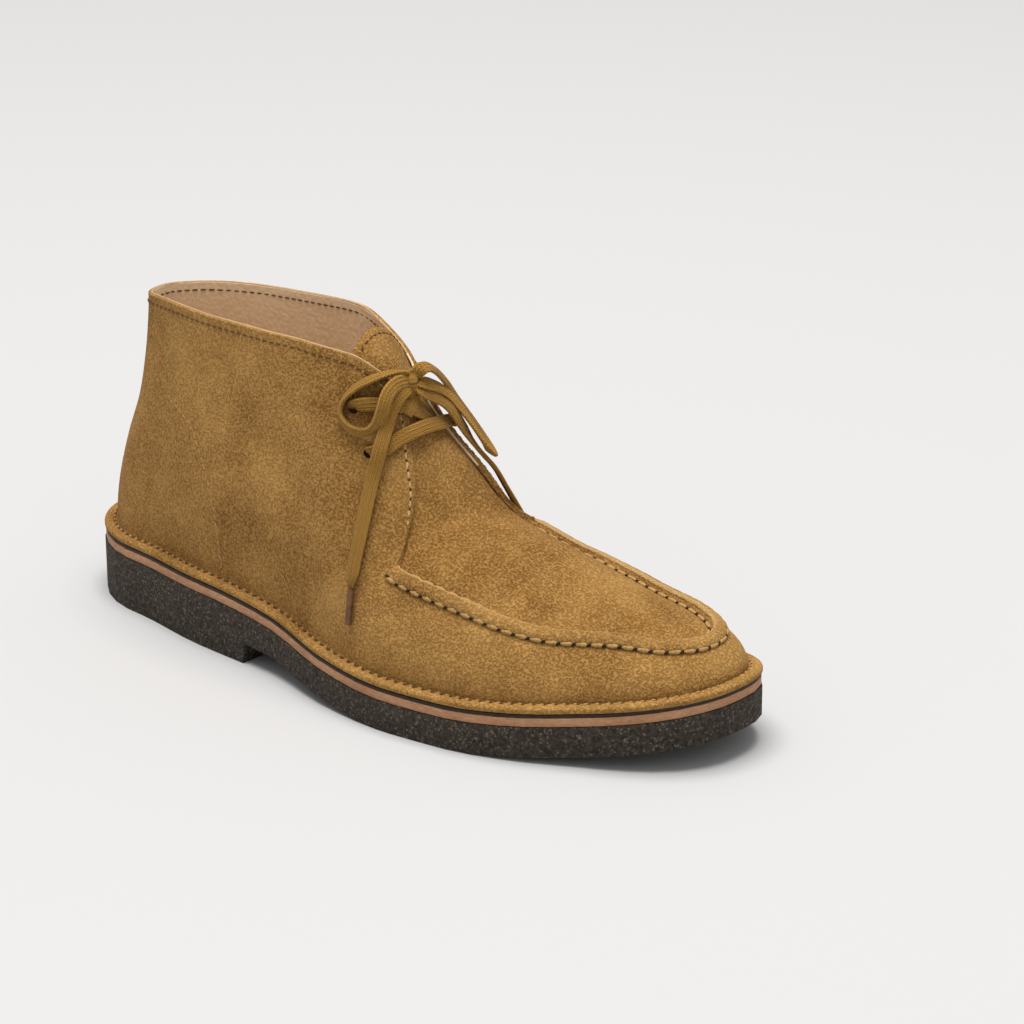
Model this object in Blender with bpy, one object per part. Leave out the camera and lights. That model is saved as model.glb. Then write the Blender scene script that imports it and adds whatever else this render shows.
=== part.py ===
"""A right chukka boot with a moccasin toe on a crepe sole.

The boot stands on its sole, toe along +X, the wearer's left (medial) side
along +Y. All pieces hang from one empty that carries the boot's middle to
the world's origin. Inside the boot's own frame X runs from the back of the
heel to the tip of the toe.
"""

import math

import bmesh
import bpy
from mathutils import Matrix, Vector

# Sole
LENGTH = 0.300
BALL_WIDTH = 0.100
HEEL_CAP = 0.040
TOE_CAP = 0.090
HEEL_THICKNESS = 0.0212
FORE_THICKNESS = 0.0114
WAIST_RISE = 0.0082
TOE_SPRING = 0.011
HEEL_LENGTH = 0.1067
CREPE_OVERHANG = 0.0004
BREAST_SLANT = 0.0012
MIDSOLE_THICKNESS = 0.0032
WELT_THICKNESS = 0.0010
CLEARANCE = 0.0003

# Shares of LENGTH where the heel's thickness starts and stops to run out,
# and where the toe starts to rise. Shares of the two caps that the spine of
# a sole layer leaves free.
HEEL_RUN_OUT = (0.27, 0.64)
SPRING_START = 0.68
SPINE_FREE = (0.9, 0.5)

# Upper
SHAFT_HEIGHT = 0.100
WALL = 0.0020
FLANGE_WIDTH = 0.0045
RIDGE_WIDTH = 0.0052
RIDGE_HEIGHT = 0.0017
EYELET_BORE = 0.0044
EYELET_PUNCH = 0.010

# Pull of the wall's curve at its foot and at its edge, as shares of the
# straight way between them, and the small steps that find its facing.
FOOT_PULL = 0.37
EDGE_PULL = 0.36
EDGE_STEP = 0.006
WAY_STEP = 0.004
HEIGHT_STEP = 0.02

# Tongue, insole and backstay
TONGUE_THICKNESS = 0.0018
TONGUE_LAP = 0.0085
APRON_LAP = 0.0042
INSOLE_THICKNESS = 0.0030
BACKSTAY_WIDTH = 0.011
BACKSTAY_THICKNESS = 0.0011
BACKSTAY_SPAN = (0.05, 0.99)
BACKSTAY_ROWS = 12

# The outline of the sole: share of LENGTH, then the middle line and the half
# width as shares of BALL_WIDTH, before the two ends are rounded off.
OUTLINE = [
    (0.00, 0.000, 0.350),
    (0.12, 0.000, 0.352),
    (0.27, -0.029, 0.389),
    (0.40, -0.050, 0.395),
    (0.52, -0.073, 0.453),
    (0.64, -0.045, 0.500),
    (0.72, -0.015, 0.500),
    (0.80, 0.020, 0.474),
    (0.88, 0.062, 0.439),
    (1.00, 0.112, 0.430),
]
HEEL_ROUND = 1.95
TOE_ROUND = 2.4

# The top edge of the upper, once for each side, from the heel to the toe:
# way along the outline as a share of its length, distance in from the
# outline as a share of BALL_WIDTH, height over the flange as a share of
# SHAFT_HEIGHT, lean of the wall outward at its foot and inward at its edge
# in degrees, share of the raised seam, and columns up to the next row.
LATERAL = [
    (0.000, 0.262, 0.940, 0, 0, 0, 2),
    (0.040, 0.2555, 0.941, 0, 0, 0, 2),
    (0.080, 0.232, 0.944, 0, 0, 0, 2),
    (0.120, 0.189, 0.952, 2, 0, 0, 2),
    (0.160, 0.151, 0.964, 4, 0, 0, 2),
    (0.220, 0.120, 0.979, 8, 0, 0, 2),
    (0.300, 0.130, 0.985, 10, 2, 0, 2),
    (0.360, 0.145, 0.998, 10, 5, 0, 2),
    (0.410, 0.180, 1.014, 8, 11, 0, 2),
    (0.455, 0.255, 1.020, 6, 20, 0, 2),
    (0.483, 0.322, 0.985, 5, 30, 0, 1),
    (0.497, 0.368, 0.936, 5, 38, 0, 2),
    (0.517, 0.394, 0.840, 5, 44, 0, 2),
    (0.534, 0.368, 0.730, 5, 48, 0, 2),
    (0.551, 0.346, 0.618, 5, 52, 0, 1),
    (0.560, 0.305, 0.518, 5, 50, 0, 1),
    (0.569, 0.228, 0.418, 5, 45, 0.3, 1),
    (0.576, 0.178, 0.372, 6, 42, 1, 2),
    (0.605, 0.178, 0.356, 8, 42, 1, 2),
    (0.650, 0.178, 0.330, 8, 42, 1, 2),
    (0.695, 0.182, 0.300, 8, 45, 1, 2),
    (0.740, 0.183, 0.258, 8, 50, 1, 3),
    (0.790, 0.186, 0.222, 7, 55, 1, 3),
    (0.850, 0.190, 0.200, 6, 60, 1, 3),
    (0.920, 0.180, 0.150, 5, 63, 1, 3),
    (1.000, 0.178, 0.118, 5, 65, 1, 0),
]
MEDIAL = [
    (0.000, 0.262, 0.940, 0, 0, 0, 2),
    (0.040, 0.2555, 0.938, 0, 0, 0, 2),
    (0.080, 0.234, 0.933, 0, 0, 0, 2),
    (0.120, 0.190, 0.926, 2, 0, 0, 2),
    (0.160, 0.141, 0.922, 4, 0, 0, 2),
    (0.220, 0.085, 0.926, 8, 0, 0, 2),
    (0.300, 0.070, 0.938, 10, 2, 0, 2),
    (0.360, 0.065, 0.955, 10, 5, 0, 2),
    (0.410, 0.120, 0.957, 10, 12, 0, 2),
    (0.455, 0.205, 0.945, 10, 22, 0, 2),
    (0.483, 0.280, 0.925, 9, 32, 0, 1),
    (0.497, 0.322, 0.895, 9, 40, 0, 2),
    (0.517, 0.334, 0.813, 9, 45, 0, 2),
    (0.536, 0.322, 0.720, 9, 48, 0, 2),
    (0.562, 0.300, 0.608, 9, 52, 0, 1),
    (0.580, 0.262, 0.505, 9, 50, 0, 1),
    (0.589, 0.190, 0.420, 9, 45, 0.3, 1),
    (0.597, 0.145, 0.378, 9, 42, 1, 2),
    (0.625, 0.148, 0.355, 9, 42, 1, 2),
    (0.665, 0.158, 0.322, 9, 43, 1, 2),
    (0.710, 0.166, 0.295, 9, 46, 1, 2),
    (0.750, 0.174, 0.276, 8, 50, 1, 3),
    (0.800, 0.182, 0.247, 7, 55, 1, 3),
    (0.855, 0.180, 0.214, 6, 60, 1, 3),
    (0.920, 0.175, 0.162, 5, 63, 1, 3),
    (1.000, 0.178, 0.118, 5, 65, 1, 0),
]
TONGUE_TOP_ROW = 9

# Rows of the wall as shares of the way from the flange to the seam, then
# the section of the seam: share of RIDGE_WIDTH left to the edge and share
# of RIDGE_HEIGHT.
WALL_ROWS = [0.07, 0.18, 0.32, 0.47, 0.62, 0.77, 0.90]
RIDGE_ROWS = [(1.00, 0.0), (0.80, 0.6), (0.48, 1.0), (0.16, 0.7), (0.0, 0.25)]

# Eyelets: share of the way along each side's outline, and distance down
# from the top edge.
EYELETS = [(0.4760, 0.0168), (0.5063, 0.0236)]

# Lace: a flat braid, drawn as a round cord. Each route runs through chosen
# points, in millimetres from the back of the heel. They stay as chosen.
LACE_RADIUS = 0.0016
AGLET_RADIUS = 0.0012
LACE_STEP = 0.0045
ROUTE_UNIT = 0.001
UPPER_BAR = [
    (153.7, -28.4, 108.7), (155.8, -27.4, 109.3), (158.3, -24.9, 109.2), (160.7, -21.7, 108.7),
    (163.2, -18.0, 108.2), (165.7, -14.9, 107.6), (166.4, -10.5, 105.0), (167.4, -6.3, 101.8),
]
KNOT_STRAND = [(164.7, -9.3, 109.2), (164.8, -10.6, 108.0), (166.0, -12.8, 107.1), (166.8, -14.3, 106.2)]
LOWER_BAR = [
    (161.8, -28.9, 92.8), (163.3, -27.4, 93.3), (164.9, -25.4, 94.1), (166.3, -22.7, 96.0),
    (167.9, -20.1, 97.6), (169.6, -16.6, 99.0), (170.3, -11.3, 99.6), (170.4, -6.4, 99.5),
    (169.6, -1.2, 98.6), (168.6, 3.5, 97.9), (167.2, 9.0, 96.6), (162.4, 15.8, 94.4),
    (158.4, 18.6, 91.6), (155.9, 20.2, 90.1),
]
LATERAL_LOOP = [
    (161.7, -13.0, 119.4), (160.2, -15.8, 119.5), (159.4, -19.6, 119.4), (157.0, -23.1, 118.3),
    (153.9, -25.8, 116.4), (150.9, -28.8, 113.4), (148.7, -30.8, 110.0), (148.3, -32.0, 106.7),
    (149.4, -32.8, 104.1), (152.3, -32.9, 101.8), (155.2, -31.8, 100.1), (158.3, -29.9, 99.5),
    (160.8, -28.4, 100.7), (162.5, -27.1, 103.4), (164.1, -26.6, 107.1), (164.9, -26.0, 110.6),
    (164.9, -24.6, 113.7), (164.9, -22.0, 116.2), (164.6, -18.3, 117.0), (164.1, -14.8, 116.6),
]
LATERAL_END = [
    (165.0, -14.0, 113.5), (165.7, -17.2, 113.2), (165.4, -19.5, 111.5), (165.1, -21.3, 109.2),
    (164.4, -22.5, 106.3), (163.9, -23.4, 103.0), (164.5, -25.5, 99.9), (165.6, -28.3, 97.1),
    (165.7, -29.9, 93.8), (165.0, -30.8, 89.3), (164.6, -32.1, 85.0), (165.3, -35.4, 78.5),
    (166.1, -38.1, 73.3), (166.9, -41.2, 67.1), (167.6, -44.8, 59.1), (168.0, -47.2, 52.6),
    (168.4, -48.5, 48.3),
]
LATERAL_AGLET = [(168.5, -48.7, 47.9), (168.9, -49.8, 43.6), (169.0, -50.4, 39.2), (169.0, -51.1, 34.7)]
MEDIAL_LOOP = [
    (166.2, -10.4, 119.9), (168.0, -8.0, 121.4), (167.2, -4.0, 119.8), (165.4, 2.0, 115.8),
    (164.7, 7.0, 110.9), (164.0, 11.0, 106.3), (164.2, 15.0, 100.7), (165.9, 18.0, 95.6),
    (168.0, 20.5, 90.4), (171.0, 21.5, 86.1), (174.8, 20.0, 83.9), (178.4, 16.5, 84.1),
    (179.4, 13.0, 87.3), (176.6, 11.5, 92.4), (173.4, 10.0, 97.5), (170.3, 8.3, 102.2),
    (167.9, 5.6, 106.8), (166.8, 1.5, 110.5), (167.5, -4.0, 113.4), (168.0, -7.3, 115.0),
]
MEDIAL_END = [
    (167.8, -8.7, 111.9), (168.4, -4.0, 109.3), (169.1, 0.5, 106.1), (170.8, 3.5, 102.6),
    (172.2, 6.2, 97.5), (173.0, 9.0, 92.8), (173.9, 12.0, 87.8), (174.4, 15.8, 83.0),
    (176.1, 20.8, 76.6), (177.2, 24.9, 69.1), (177.6, 29.3, 62.0), (178.1, 33.1, 55.0),
    (178.1, 36.4, 47.8), (178.0, 38.3, 42.6),
]
MEDIAL_AGLET = [(178.0, 38.4, 42.2), (177.8, 39.2, 38.6), (177.7, 40.0, 35.2), (177.6, 40.6, 29.3)]
KNOT_CENTRE = (163.3, -9.5, 115.0)
KNOT_SIZE = (3.4, 3.4, 3.9)

ACROSS = 9
SOLE_COLUMNS = 72
OUTLINE_STEPS = 500

SUEDE = (0.300, 0.158, 0.047)
SUEDE_DARK = (0.230, 0.120, 0.038)
CREPE = (0.040, 0.031, 0.025)
LEATHER_EDGE = (0.480, 0.270, 0.150)
WELT_DARK = (0.035, 0.022, 0.014)
LINING = (0.520, 0.330, 0.220)
BRAID = (0.330, 0.180, 0.048)
AGLET_BROWN = (0.120, 0.055, 0.025)


def smooth_step(start, end, at):
    """Zero before start, one after end, with a smooth rise between."""
    share = min(1.0, max(0.0, (at - start) / (end - start)))
    return share * share * (3.0 - 2.0 * share)


def blend(table, column, at, level_ends=False):
    """The smooth value of one column of a table, with no overshoot."""
    places = [row[0] for row in table]
    values = [row[column] for row in table]
    last = len(places) - 1
    at = min(places[last], max(places[0], at))
    here = 0
    while here < last - 1 and at > places[here + 1]:
        here += 1
    rises = []
    for i in range(last):
        rises.append((values[i + 1] - values[i]) / (places[i + 1] - places[i]))

    def slope(i):
        if i == 0:
            return 0.0 if level_ends else rises[0]
        if i == last:
            return 0.0 if level_ends else rises[last - 1]
        before = rises[i - 1]
        after = rises[i]
        if before * after <= 0.0:
            return 0.0
        return 2.0 * before * after / (before + after)

    width = places[here + 1] - places[here]
    t = (at - places[here]) / width
    a = values[here]
    b = values[here + 1]
    m = slope(here) * width
    n = slope(here + 1) * width
    value = a * (2 * t ** 3 - 3 * t ** 2 + 1) + b * (3 * t ** 2 - 2 * t ** 3)
    return value + m * (t ** 3 - 2 * t ** 2 + t) + n * (t ** 3 - t ** 2)


def cap_share(distance, length, power):
    """How much of its width the outline keeps this far from an end."""
    if distance >= length:
        return 1.0
    share = 1.0 - max(0.0, distance) / length
    return max(0.0, 1.0 - share ** power) ** (1.0 / power)


def middle_line(x):
    return BALL_WIDTH * blend(OUTLINE, 1, x / LENGTH)


def trace_side(side):
    """Points of the sole's edge from heel to toe with their arc shares."""
    points = []
    for i in range(OUTLINE_STEPS + 1):
        x = LENGTH * (1.0 - math.cos(math.pi * i / OUTLINE_STEPS)) / 2.0
        half = BALL_WIDTH * blend(OUTLINE, 2, x / LENGTH)
        half *= cap_share(x, HEEL_CAP, HEEL_ROUND)
        half *= cap_share(LENGTH - x, TOE_CAP, TOE_ROUND)
        points.append(Vector((x, middle_line(x) + side * half)))
    arcs = [0.0]
    for i in range(OUTLINE_STEPS):
        arcs.append(arcs[-1] + (points[i + 1] - points[i]).length)
    return points, [arc / arcs[-1] for arc in arcs]


SIDES = {-1: trace_side(-1), 1: trace_side(1)}


def edge_point(way):
    """The sole's edge: way 0 to 1 is the lateral side, 1 to 2 the medial."""
    way = way % 2.0
    side = -1 if way <= 1.0 else 1
    share = way if way <= 1.0 else 2.0 - way
    points, shares = SIDES[side]
    low = 0
    high = len(shares) - 1
    while high - low > 1:
        half = (low + high) // 2
        if shares[half] <= share:
            low = half
        else:
            high = half
    t = (share - shares[low]) / (shares[high] - shares[low])
    return points[low].lerp(points[high], t)


def inward(way):
    """The unit direction from the sole's edge into the sole."""
    run = edge_point(way + EDGE_STEP) - edge_point(way - EDGE_STEP)
    return Vector((-run.y, run.x)).normalized()


def inset_point(way, distance):
    return edge_point(way) + inward(way) * distance


def toe_spring(x):
    share = max(0.0, (x / LENGTH - SPRING_START) / (1.0 - SPRING_START))
    return TOE_SPRING * share * share


def crepe_top(x):
    heel = 1.0 - smooth_step(HEEL_RUN_OUT[0] * LENGTH, HEEL_RUN_OUT[1] * LENGTH, x)
    return FORE_THICKNESS + (HEEL_THICKNESS - FORE_THICKNESS) * heel + toe_spring(x)


def crepe_bottom(x):
    if x <= HEEL_LENGTH:
        return 0.0
    arch = WAIST_RISE * (1.0 - smooth_step(HEEL_LENGTH, HEEL_RUN_OUT[1] * LENGTH, x))
    start = smooth_step(HEEL_LENGTH, HEEL_LENGTH + BREAST_SLANT, x)
    return arch * start + toe_spring(x)


def midsole_bottom(x):
    return crepe_top(x) + CLEARANCE


def midsole_top(x):
    return midsole_bottom(x) + MIDSOLE_THICKNESS


def welt_bottom(x):
    return midsole_top(x) + CLEARANCE


def welt_top(x):
    return welt_bottom(x) + WELT_THICKNESS


def flange_bottom(x):
    return welt_top(x) + CLEARANCE


def flange_top(x):
    return flange_bottom(x) + WALL


def side_value(way, column):
    """A value of the top edge's table at this way round the boot."""
    way = way % 2.0
    if way <= 1.0:
        return blend(LATERAL, column, way, level_ends=True)
    return blend(MEDIAL, column, 2.0 - way, level_ends=True)


def wall_handles(way):
    """The four control points of the wall's curve at one way round."""
    edge = edge_point(way)
    to_inside = inward(way)
    foot = edge + to_inside * FLANGE_WIDTH
    head = edge + to_inside * side_value(way, 1) * BALL_WIDTH
    inside = Vector((to_inside.x, to_inside.y, 0.0))
    low = Vector((foot.x, foot.y, flange_top(foot.x)))
    rise = side_value(way, 2) * SHAFT_HEIGHT
    high = Vector((head.x, head.y, flange_top(edge.x) + rise))
    belly = math.radians(side_value(way, 3))
    lean = math.radians(side_value(way, 4))
    span = (high - low).length
    up = Vector((0.0, 0.0, 1.0))
    start = up * math.cos(belly) - inside * math.sin(belly)
    end = up * math.cos(lean) + inside * math.sin(lean)
    return low, low + start * span * FOOT_PULL, high - end * span * EDGE_PULL, high


def wall_point(way, t):
    """A point of the wall, t 0 at the flange and 1 at the top edge."""
    a, b, c, d = wall_handles(way)
    s = 1.0 - t
    return a * s ** 3 + b * 3 * s * s * t + c * 3 * s * t * t + d * t ** 3


def wall_share(way, distance):
    """The share t at a distance down from the top edge."""
    handles = wall_handles(way)
    return 1.0 - distance / (3.0 * (handles[3] - handles[2]).length)


def wall_out(way, t):
    """The unit direction out of the wall."""
    run = wall_point(way + WAY_STEP, t) - wall_point(way - WAY_STEP, t)
    low = max(0.0, t - HEIGHT_STEP)
    high = min(1.0, t + HEIGHT_STEP)
    rise = wall_point(way, high) - wall_point(way, low)
    return run.cross(rise).normalized()


def column_ways():
    """Where the upper's columns stand, in pairs of lateral and medial."""
    pairs = []
    for row in range(len(LATERAL) - 1):
        steps = LATERAL[row][6]
        for i in range(steps):
            t = i / steps
            left = LATERAL[row][0] * (1 - t) + LATERAL[row + 1][0] * t
            right = MEDIAL[row][0] * (1 - t) + MEDIAL[row + 1][0] * t
            pairs.append((left, 2.0 - right))
    pairs.append((1.0, 1.0))
    return pairs


def new_object(name, vertices, faces, color, roughness):
    """One closed mesh object with its own material."""
    mesh = bpy.data.meshes.new(name)
    mesh.from_pydata([tuple(v) for v in vertices], [], faces)
    work = bmesh.new()
    work.from_mesh(mesh)
    bmesh.ops.remove_doubles(work, verts=work.verts, dist=0.00002)
    bmesh.ops.dissolve_degenerate(work, edges=work.edges, dist=0.000001)
    bmesh.ops.recalc_face_normals(work, faces=work.faces)
    if work.calc_volume(signed=True) < 0.0:
        bmesh.ops.reverse_faces(work, faces=work.faces)
    work.to_mesh(mesh)
    work.free()
    mesh.shade_smooth()
    mesh.set_sharp_from_angle(angle=math.radians(40))
    shoe_object = bpy.data.objects.new(name, mesh)
    PARTS.objects.link(shoe_object)
    shoe_object.parent = CARRIER
    add_material(shoe_object, color, roughness)
    return shoe_object


def add_material(shoe_object, color, roughness, metallic=0.0):
    material = bpy.data.materials.new(shoe_object.name)
    material.use_nodes = True
    surface = material.node_tree.nodes["Principled BSDF"]
    surface.inputs["Base Color"].default_value = (*color, 1.0)
    surface.inputs["Roughness"].default_value = roughness
    surface.inputs["Metallic"].default_value = metallic
    shoe_object.data.materials.append(material)


def ring_of_sections(sections):
    """Faces of closed sections that follow one another in a ring."""
    count = len(sections)
    size = len(sections[0])
    vertices = [point for section in sections for point in section]
    faces = []
    for i in range(count):
        after = (i + 1) % count
        for j in range(size):
            beyond = (j + 1) % size
            faces.append((i * size + j, i * size + beyond, after * size + beyond, after * size + j))
    return vertices, faces


def sheet(outer_rows, inner_rows):
    """Faces of a sheet between an outer and an inner grid of points."""
    count = len(outer_rows)
    size = len(outer_rows[0])
    vertices = [point for row in outer_rows for point in row]
    vertices += [point for row in inner_rows for point in row]
    shift = count * size
    faces = []
    for i in range(count - 1):
        for j in range(size - 1):
            a = i * size + j
            corners = (a, a + 1, a + size + 1, a + size)
            faces.append(corners)
            faces.append(tuple(shift + corner for corner in reversed(corners)))
    for i in range(count - 1):
        for j in (0, size - 1):
            a = i * size + j
            faces.append((a, a + size, shift + a + size, shift + a))
    for j in range(size - 1):
        for i in (0, count - 1):
            a = i * size + j
            faces.append((a, a + 1, shift + a + 1, shift + a))
    return vertices, faces


def sole_ways():
    """Ways round the sole, closer at the ends, with the breast's corners."""
    ways = []
    half = SOLE_COLUMNS // 2
    for i in range(SOLE_COLUMNS):
        side = i / half
        local = side if side <= 1.0 else 2.0 - side
        local = local - 0.10 * math.sin(2.0 * math.pi * local) / (2.0 * math.pi)
        ways.append(local if side <= 1.0 else 2.0 - local)
    return ways


def way_at(side, x):
    """The way round the sole where one side passes a given X."""
    low = 0.0
    high = 1.0
    for _ in range(40):
        half = (low + high) / 2.0
        point = edge_point(half if side < 0 else 2.0 - half)
        if point.x < x:
            low = half
        else:
            high = half
    return low if side < 0 else 2.0 - low


def slab(name, inset, bottom, top, rings, color, roughness, steps=()):
    """A layer of the sole between two heights over its own outline."""
    ways = sole_ways()
    free = [way for way in ways if way not in (0.0, 1.0)]
    for side in (-1, 1):
        for x in steps:
            target = way_at(side, x)
            nearest = min(free, key=lambda way: abs(way - target))
            free.remove(nearest)
            ways[ways.index(nearest)] = target
    ways.sort()
    first = HEEL_CAP * SPINE_FREE[0]
    last = LENGTH - TOE_CAP * SPINE_FREE[1]
    top_rows = []
    bottom_rows = []
    for share in rings:
        top_ring = []
        bottom_ring = []
        for way in ways:
            edge = inset_point(way, inset)
            spine_x = min(last, max(first, edge.x))
            spine = Vector((spine_x, middle_line(spine_x)))
            point = spine.lerp(edge, share)
            top_ring.append(Vector((point.x, point.y, top(point.x))))
            bottom_ring.append(Vector((point.x, point.y, bottom(point.x))))
        top_rows.append(top_ring)
        bottom_rows.append(bottom_ring)
    rows = list(reversed(bottom_rows)) + top_rows
    size = len(ways)
    vertices = [point for row in rows for point in row]
    faces = []
    for i in range(len(rows) - 1):
        for j in range(size):
            k = (j + 1) % size
            faces.append((i * size + j, i * size + k, (i + 1) * size + k, (i + 1) * size + j))
    half = size // 2
    for base in (0, (len(rows) - 1) * size):
        for j in range(half):
            a = base + j
            b = base + j + 1
            c = base + (size - j - 1) % size
            d = base + (size - j) % size
            corners = []
            for corner in (a, b, c, d):
                if corner not in corners:
                    corners.append(corner)
            faces.append(tuple(corners))
    return new_object(name, vertices, faces, color, roughness)


def upper_section(way):
    """The closed section of the upper at one way round the boot."""
    edge = edge_point(way)
    crease = inset_point(way, FLANGE_WIDTH)
    corner = inset_point(way, FLANGE_WIDTH + WALL)
    outer = [
        Vector((edge.x, edge.y, flange_top(edge.x))),
        Vector((crease.x, crease.y, flange_top(crease.x))),
    ]
    inner = [
        Vector((edge.x, edge.y, flange_bottom(edge.x))),
        Vector((corner.x, corner.y, flange_bottom(corner.x))),
    ]
    seam = wall_share(way, RIDGE_WIDTH)
    raised = side_value(way, 5)
    spots = [(share * seam, 0.0) for share in WALL_ROWS]
    for left, height in RIDGE_ROWS:
        spots.append((wall_share(way, RIDGE_WIDTH * left), height))
    for t, height in spots:
        out = wall_out(way, t)
        point = wall_point(way, t)
        outer.append(point + out * RIDGE_HEIGHT * height * raised)
        inner.append(point - out * WALL)
    return outer + list(reversed(inner))


def make_upper():
    pairs = column_ways()
    ways = [left for left, _ in pairs] + [right for _, right in reversed(pairs[1:-1])]
    vertices, faces = ring_of_sections([upper_section(way) for way in ways])
    upper = new_object("upper", vertices, faces, SUEDE, 0.9)
    for side in (-1, 1):
        for share, distance in EYELETS:
            way = share if side < 0 else 2.0 - share
            t = wall_share(way, distance)
            punch(upper, wall_point(way, t), wall_out(way, t))
    return upper


def punch(target, centre, direction):
    """Cut one round eyelet through the wall."""
    bpy.ops.mesh.primitive_cylinder_add(vertices=16, radius=EYELET_BORE / 2, depth=EYELET_PUNCH)
    cutter = bpy.context.active_object
    cutter.name = "eyelet_cutter"
    for collection in list(cutter.users_collection):
        collection.objects.unlink(cutter)
    CUTTERS.objects.link(cutter)
    cutter.parent = CARRIER
    cutter.location = centre
    cutter.rotation_mode = "QUATERNION"
    cutter.rotation_quaternion = direction.to_track_quat("Z", "Y")
    cutter.hide_render = True
    cutter.display_type = "WIRE"
    cut = target.modifiers.new("eyelet", "BOOLEAN")
    cut.operation = "DIFFERENCE"
    cut.solver = "EXACT"
    cut.object = cutter


def under_point(way, t, depth):
    return wall_point(way, t) - wall_out(way, t) * depth


def apron_row(left, right, depth):
    """One row of the apron and tongue, from lap to lap, at a given depth."""
    lap = []
    rim = []
    for way in (left, right):
        raised = side_value(way, 5)
        reach = TONGUE_LAP + (APRON_LAP - TONGUE_LAP) * raised
        lap.append(under_point(way, wall_share(way, reach), depth))
        rim.append(under_point(way, 1.0, depth))
    handles = []
    width = (rim[1] - rim[0]).length
    for k, way in enumerate((left, right)):
        points = wall_handles(way)
        run = (points[3] - points[2]).normalized()
        handles.append(rim[k] + run * width * EDGE_PULL)
    row = [lap[0]]
    for i in range(ACROSS + 1):
        t = i / ACROSS
        s = 1.0 - t
        middle = handles[0] * 3 * s * s * t + handles[1] * 3 * s * t * t
        row.append(rim[0] * s ** 3 + middle + rim[1] * t ** 3)
    row.append(lap[1])
    return row


def toe_row(left, right, depth):
    """The row that tucks the front of the apron under the seam."""
    row = []
    for i in range(ACROSS + 3):
        way = left + (right - left) * i / (ACROSS + 2)
        row.append(under_point(way, wall_share(way, APRON_LAP), depth))
    return row


def make_apron_tongue():
    pairs = column_ways()
    first = sum(row[6] for row in LATERAL[:TONGUE_TOP_ROW])
    outer_depth = WALL + CLEARANCE
    inner_depth = outer_depth + TONGUE_THICKNESS
    outer = []
    inner = []
    for left, right in pairs[first:-1]:
        outer.append(apron_row(left, right, outer_depth))
        inner.append(apron_row(left, right, inner_depth))
    left, right = pairs[-2]
    outer.append(toe_row(left, right, outer_depth))
    inner.append(toe_row(left, right, inner_depth))
    vertices, faces = sheet(outer, inner)
    return new_object("apron_tongue", vertices, faces, SUEDE, 0.9)


def way_beside(t, reach, side):
    """The way round the heel that lies this far beside the back seam."""
    seam = wall_point(0.0, t)
    low = 0.0
    high = 0.15
    for _ in range(24):
        half = (low + high) / 2.0
        if (wall_point(half * side, t) - seam).length < reach:
            low = half
        else:
            high = half
    return low * side


def make_backstay():
    """The strip down the back seam, over the upper's wall."""
    outer = []
    inner = []
    for i in range(BACKSTAY_ROWS + 1):
        t = BACKSTAY_SPAN[0] + (BACKSTAY_SPAN[1] - BACKSTAY_SPAN[0]) * i / BACKSTAY_ROWS
        high = []
        low = []
        for share in (-1.0, -0.8, -0.4, 0.0, 0.4, 0.8, 1.0):
            side = -1.0 if share < 0.0 else 1.0
            way = way_beside(t, BACKSTAY_WIDTH / 2.0 * abs(share), side)
            out = wall_out(way, t)
            point = wall_point(way, t)
            edge = 0.5 if abs(share) == 1.0 else 1.0
            high.append(point + out * (CLEARANCE + BACKSTAY_THICKNESS * edge))
            low.append(point + out * CLEARANCE)
        outer.append(high)
        inner.append(low)
    vertices, faces = sheet(outer, inner)
    return new_object("backstay", vertices, faces, SUEDE_DARK, 0.9)


def insole_bottom(x):
    return flange_bottom(x)


def insole_top(x):
    return flange_bottom(x) + INSOLE_THICKNESS


def smooth_route(points):
    """Points at even steps on one smooth curve through a route."""
    knots = [Vector(point) * ROUTE_UNIT for point in points]
    knots = [knots[0] * 2.0 - knots[1]] + knots + [knots[-1] * 2.0 - knots[-2]]
    fine = []
    for i in range(1, len(knots) - 2):
        before, here, after, beyond = knots[i - 1:i + 3]
        for step in range(12):
            t = step / 12.0
            bend = (before * 2.0 - here * 5.0 + after * 4.0 - beyond) * t * t
            twist = (here * 3.0 - before - after * 3.0 + beyond) * t ** 3
            fine.append((here * 2.0 + (after - before) * t + bend + twist) * 0.5)
    fine.append(knots[-2])
    lengths = [0.0]
    for i in range(len(fine) - 1):
        lengths.append(lengths[-1] + (fine[i + 1] - fine[i]).length)
    count = max(2, round(lengths[-1] / LACE_STEP))
    even = []
    here = 0
    for i in range(count + 1):
        target = lengths[-1] * i / count
        while here < len(lengths) - 2 and lengths[here + 1] < target:
            here += 1
        share = (target - lengths[here]) / (lengths[here + 1] - lengths[here])
        even.append(fine[here].lerp(fine[here + 1], share))
    return even


def make_cord(name, points, radius, color, roughness):
    """A cord along a route, with closed ends."""
    curve = bpy.data.curves.new(name, "CURVE")
    curve.dimensions = "3D"
    curve.bevel_depth = radius
    curve.bevel_resolution = 2
    curve.use_fill_caps = True
    line = curve.splines.new("POLY")
    route = smooth_route(points)
    line.points.add(len(route) - 1)
    for place, point in zip(line.points, route):
        place.co = (*point, 1.0)
    cord = bpy.data.objects.new(name, curve)
    PARTS.objects.link(cord)
    cord.parent = CARRIER
    add_material(cord, color, roughness)
    return cord


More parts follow.
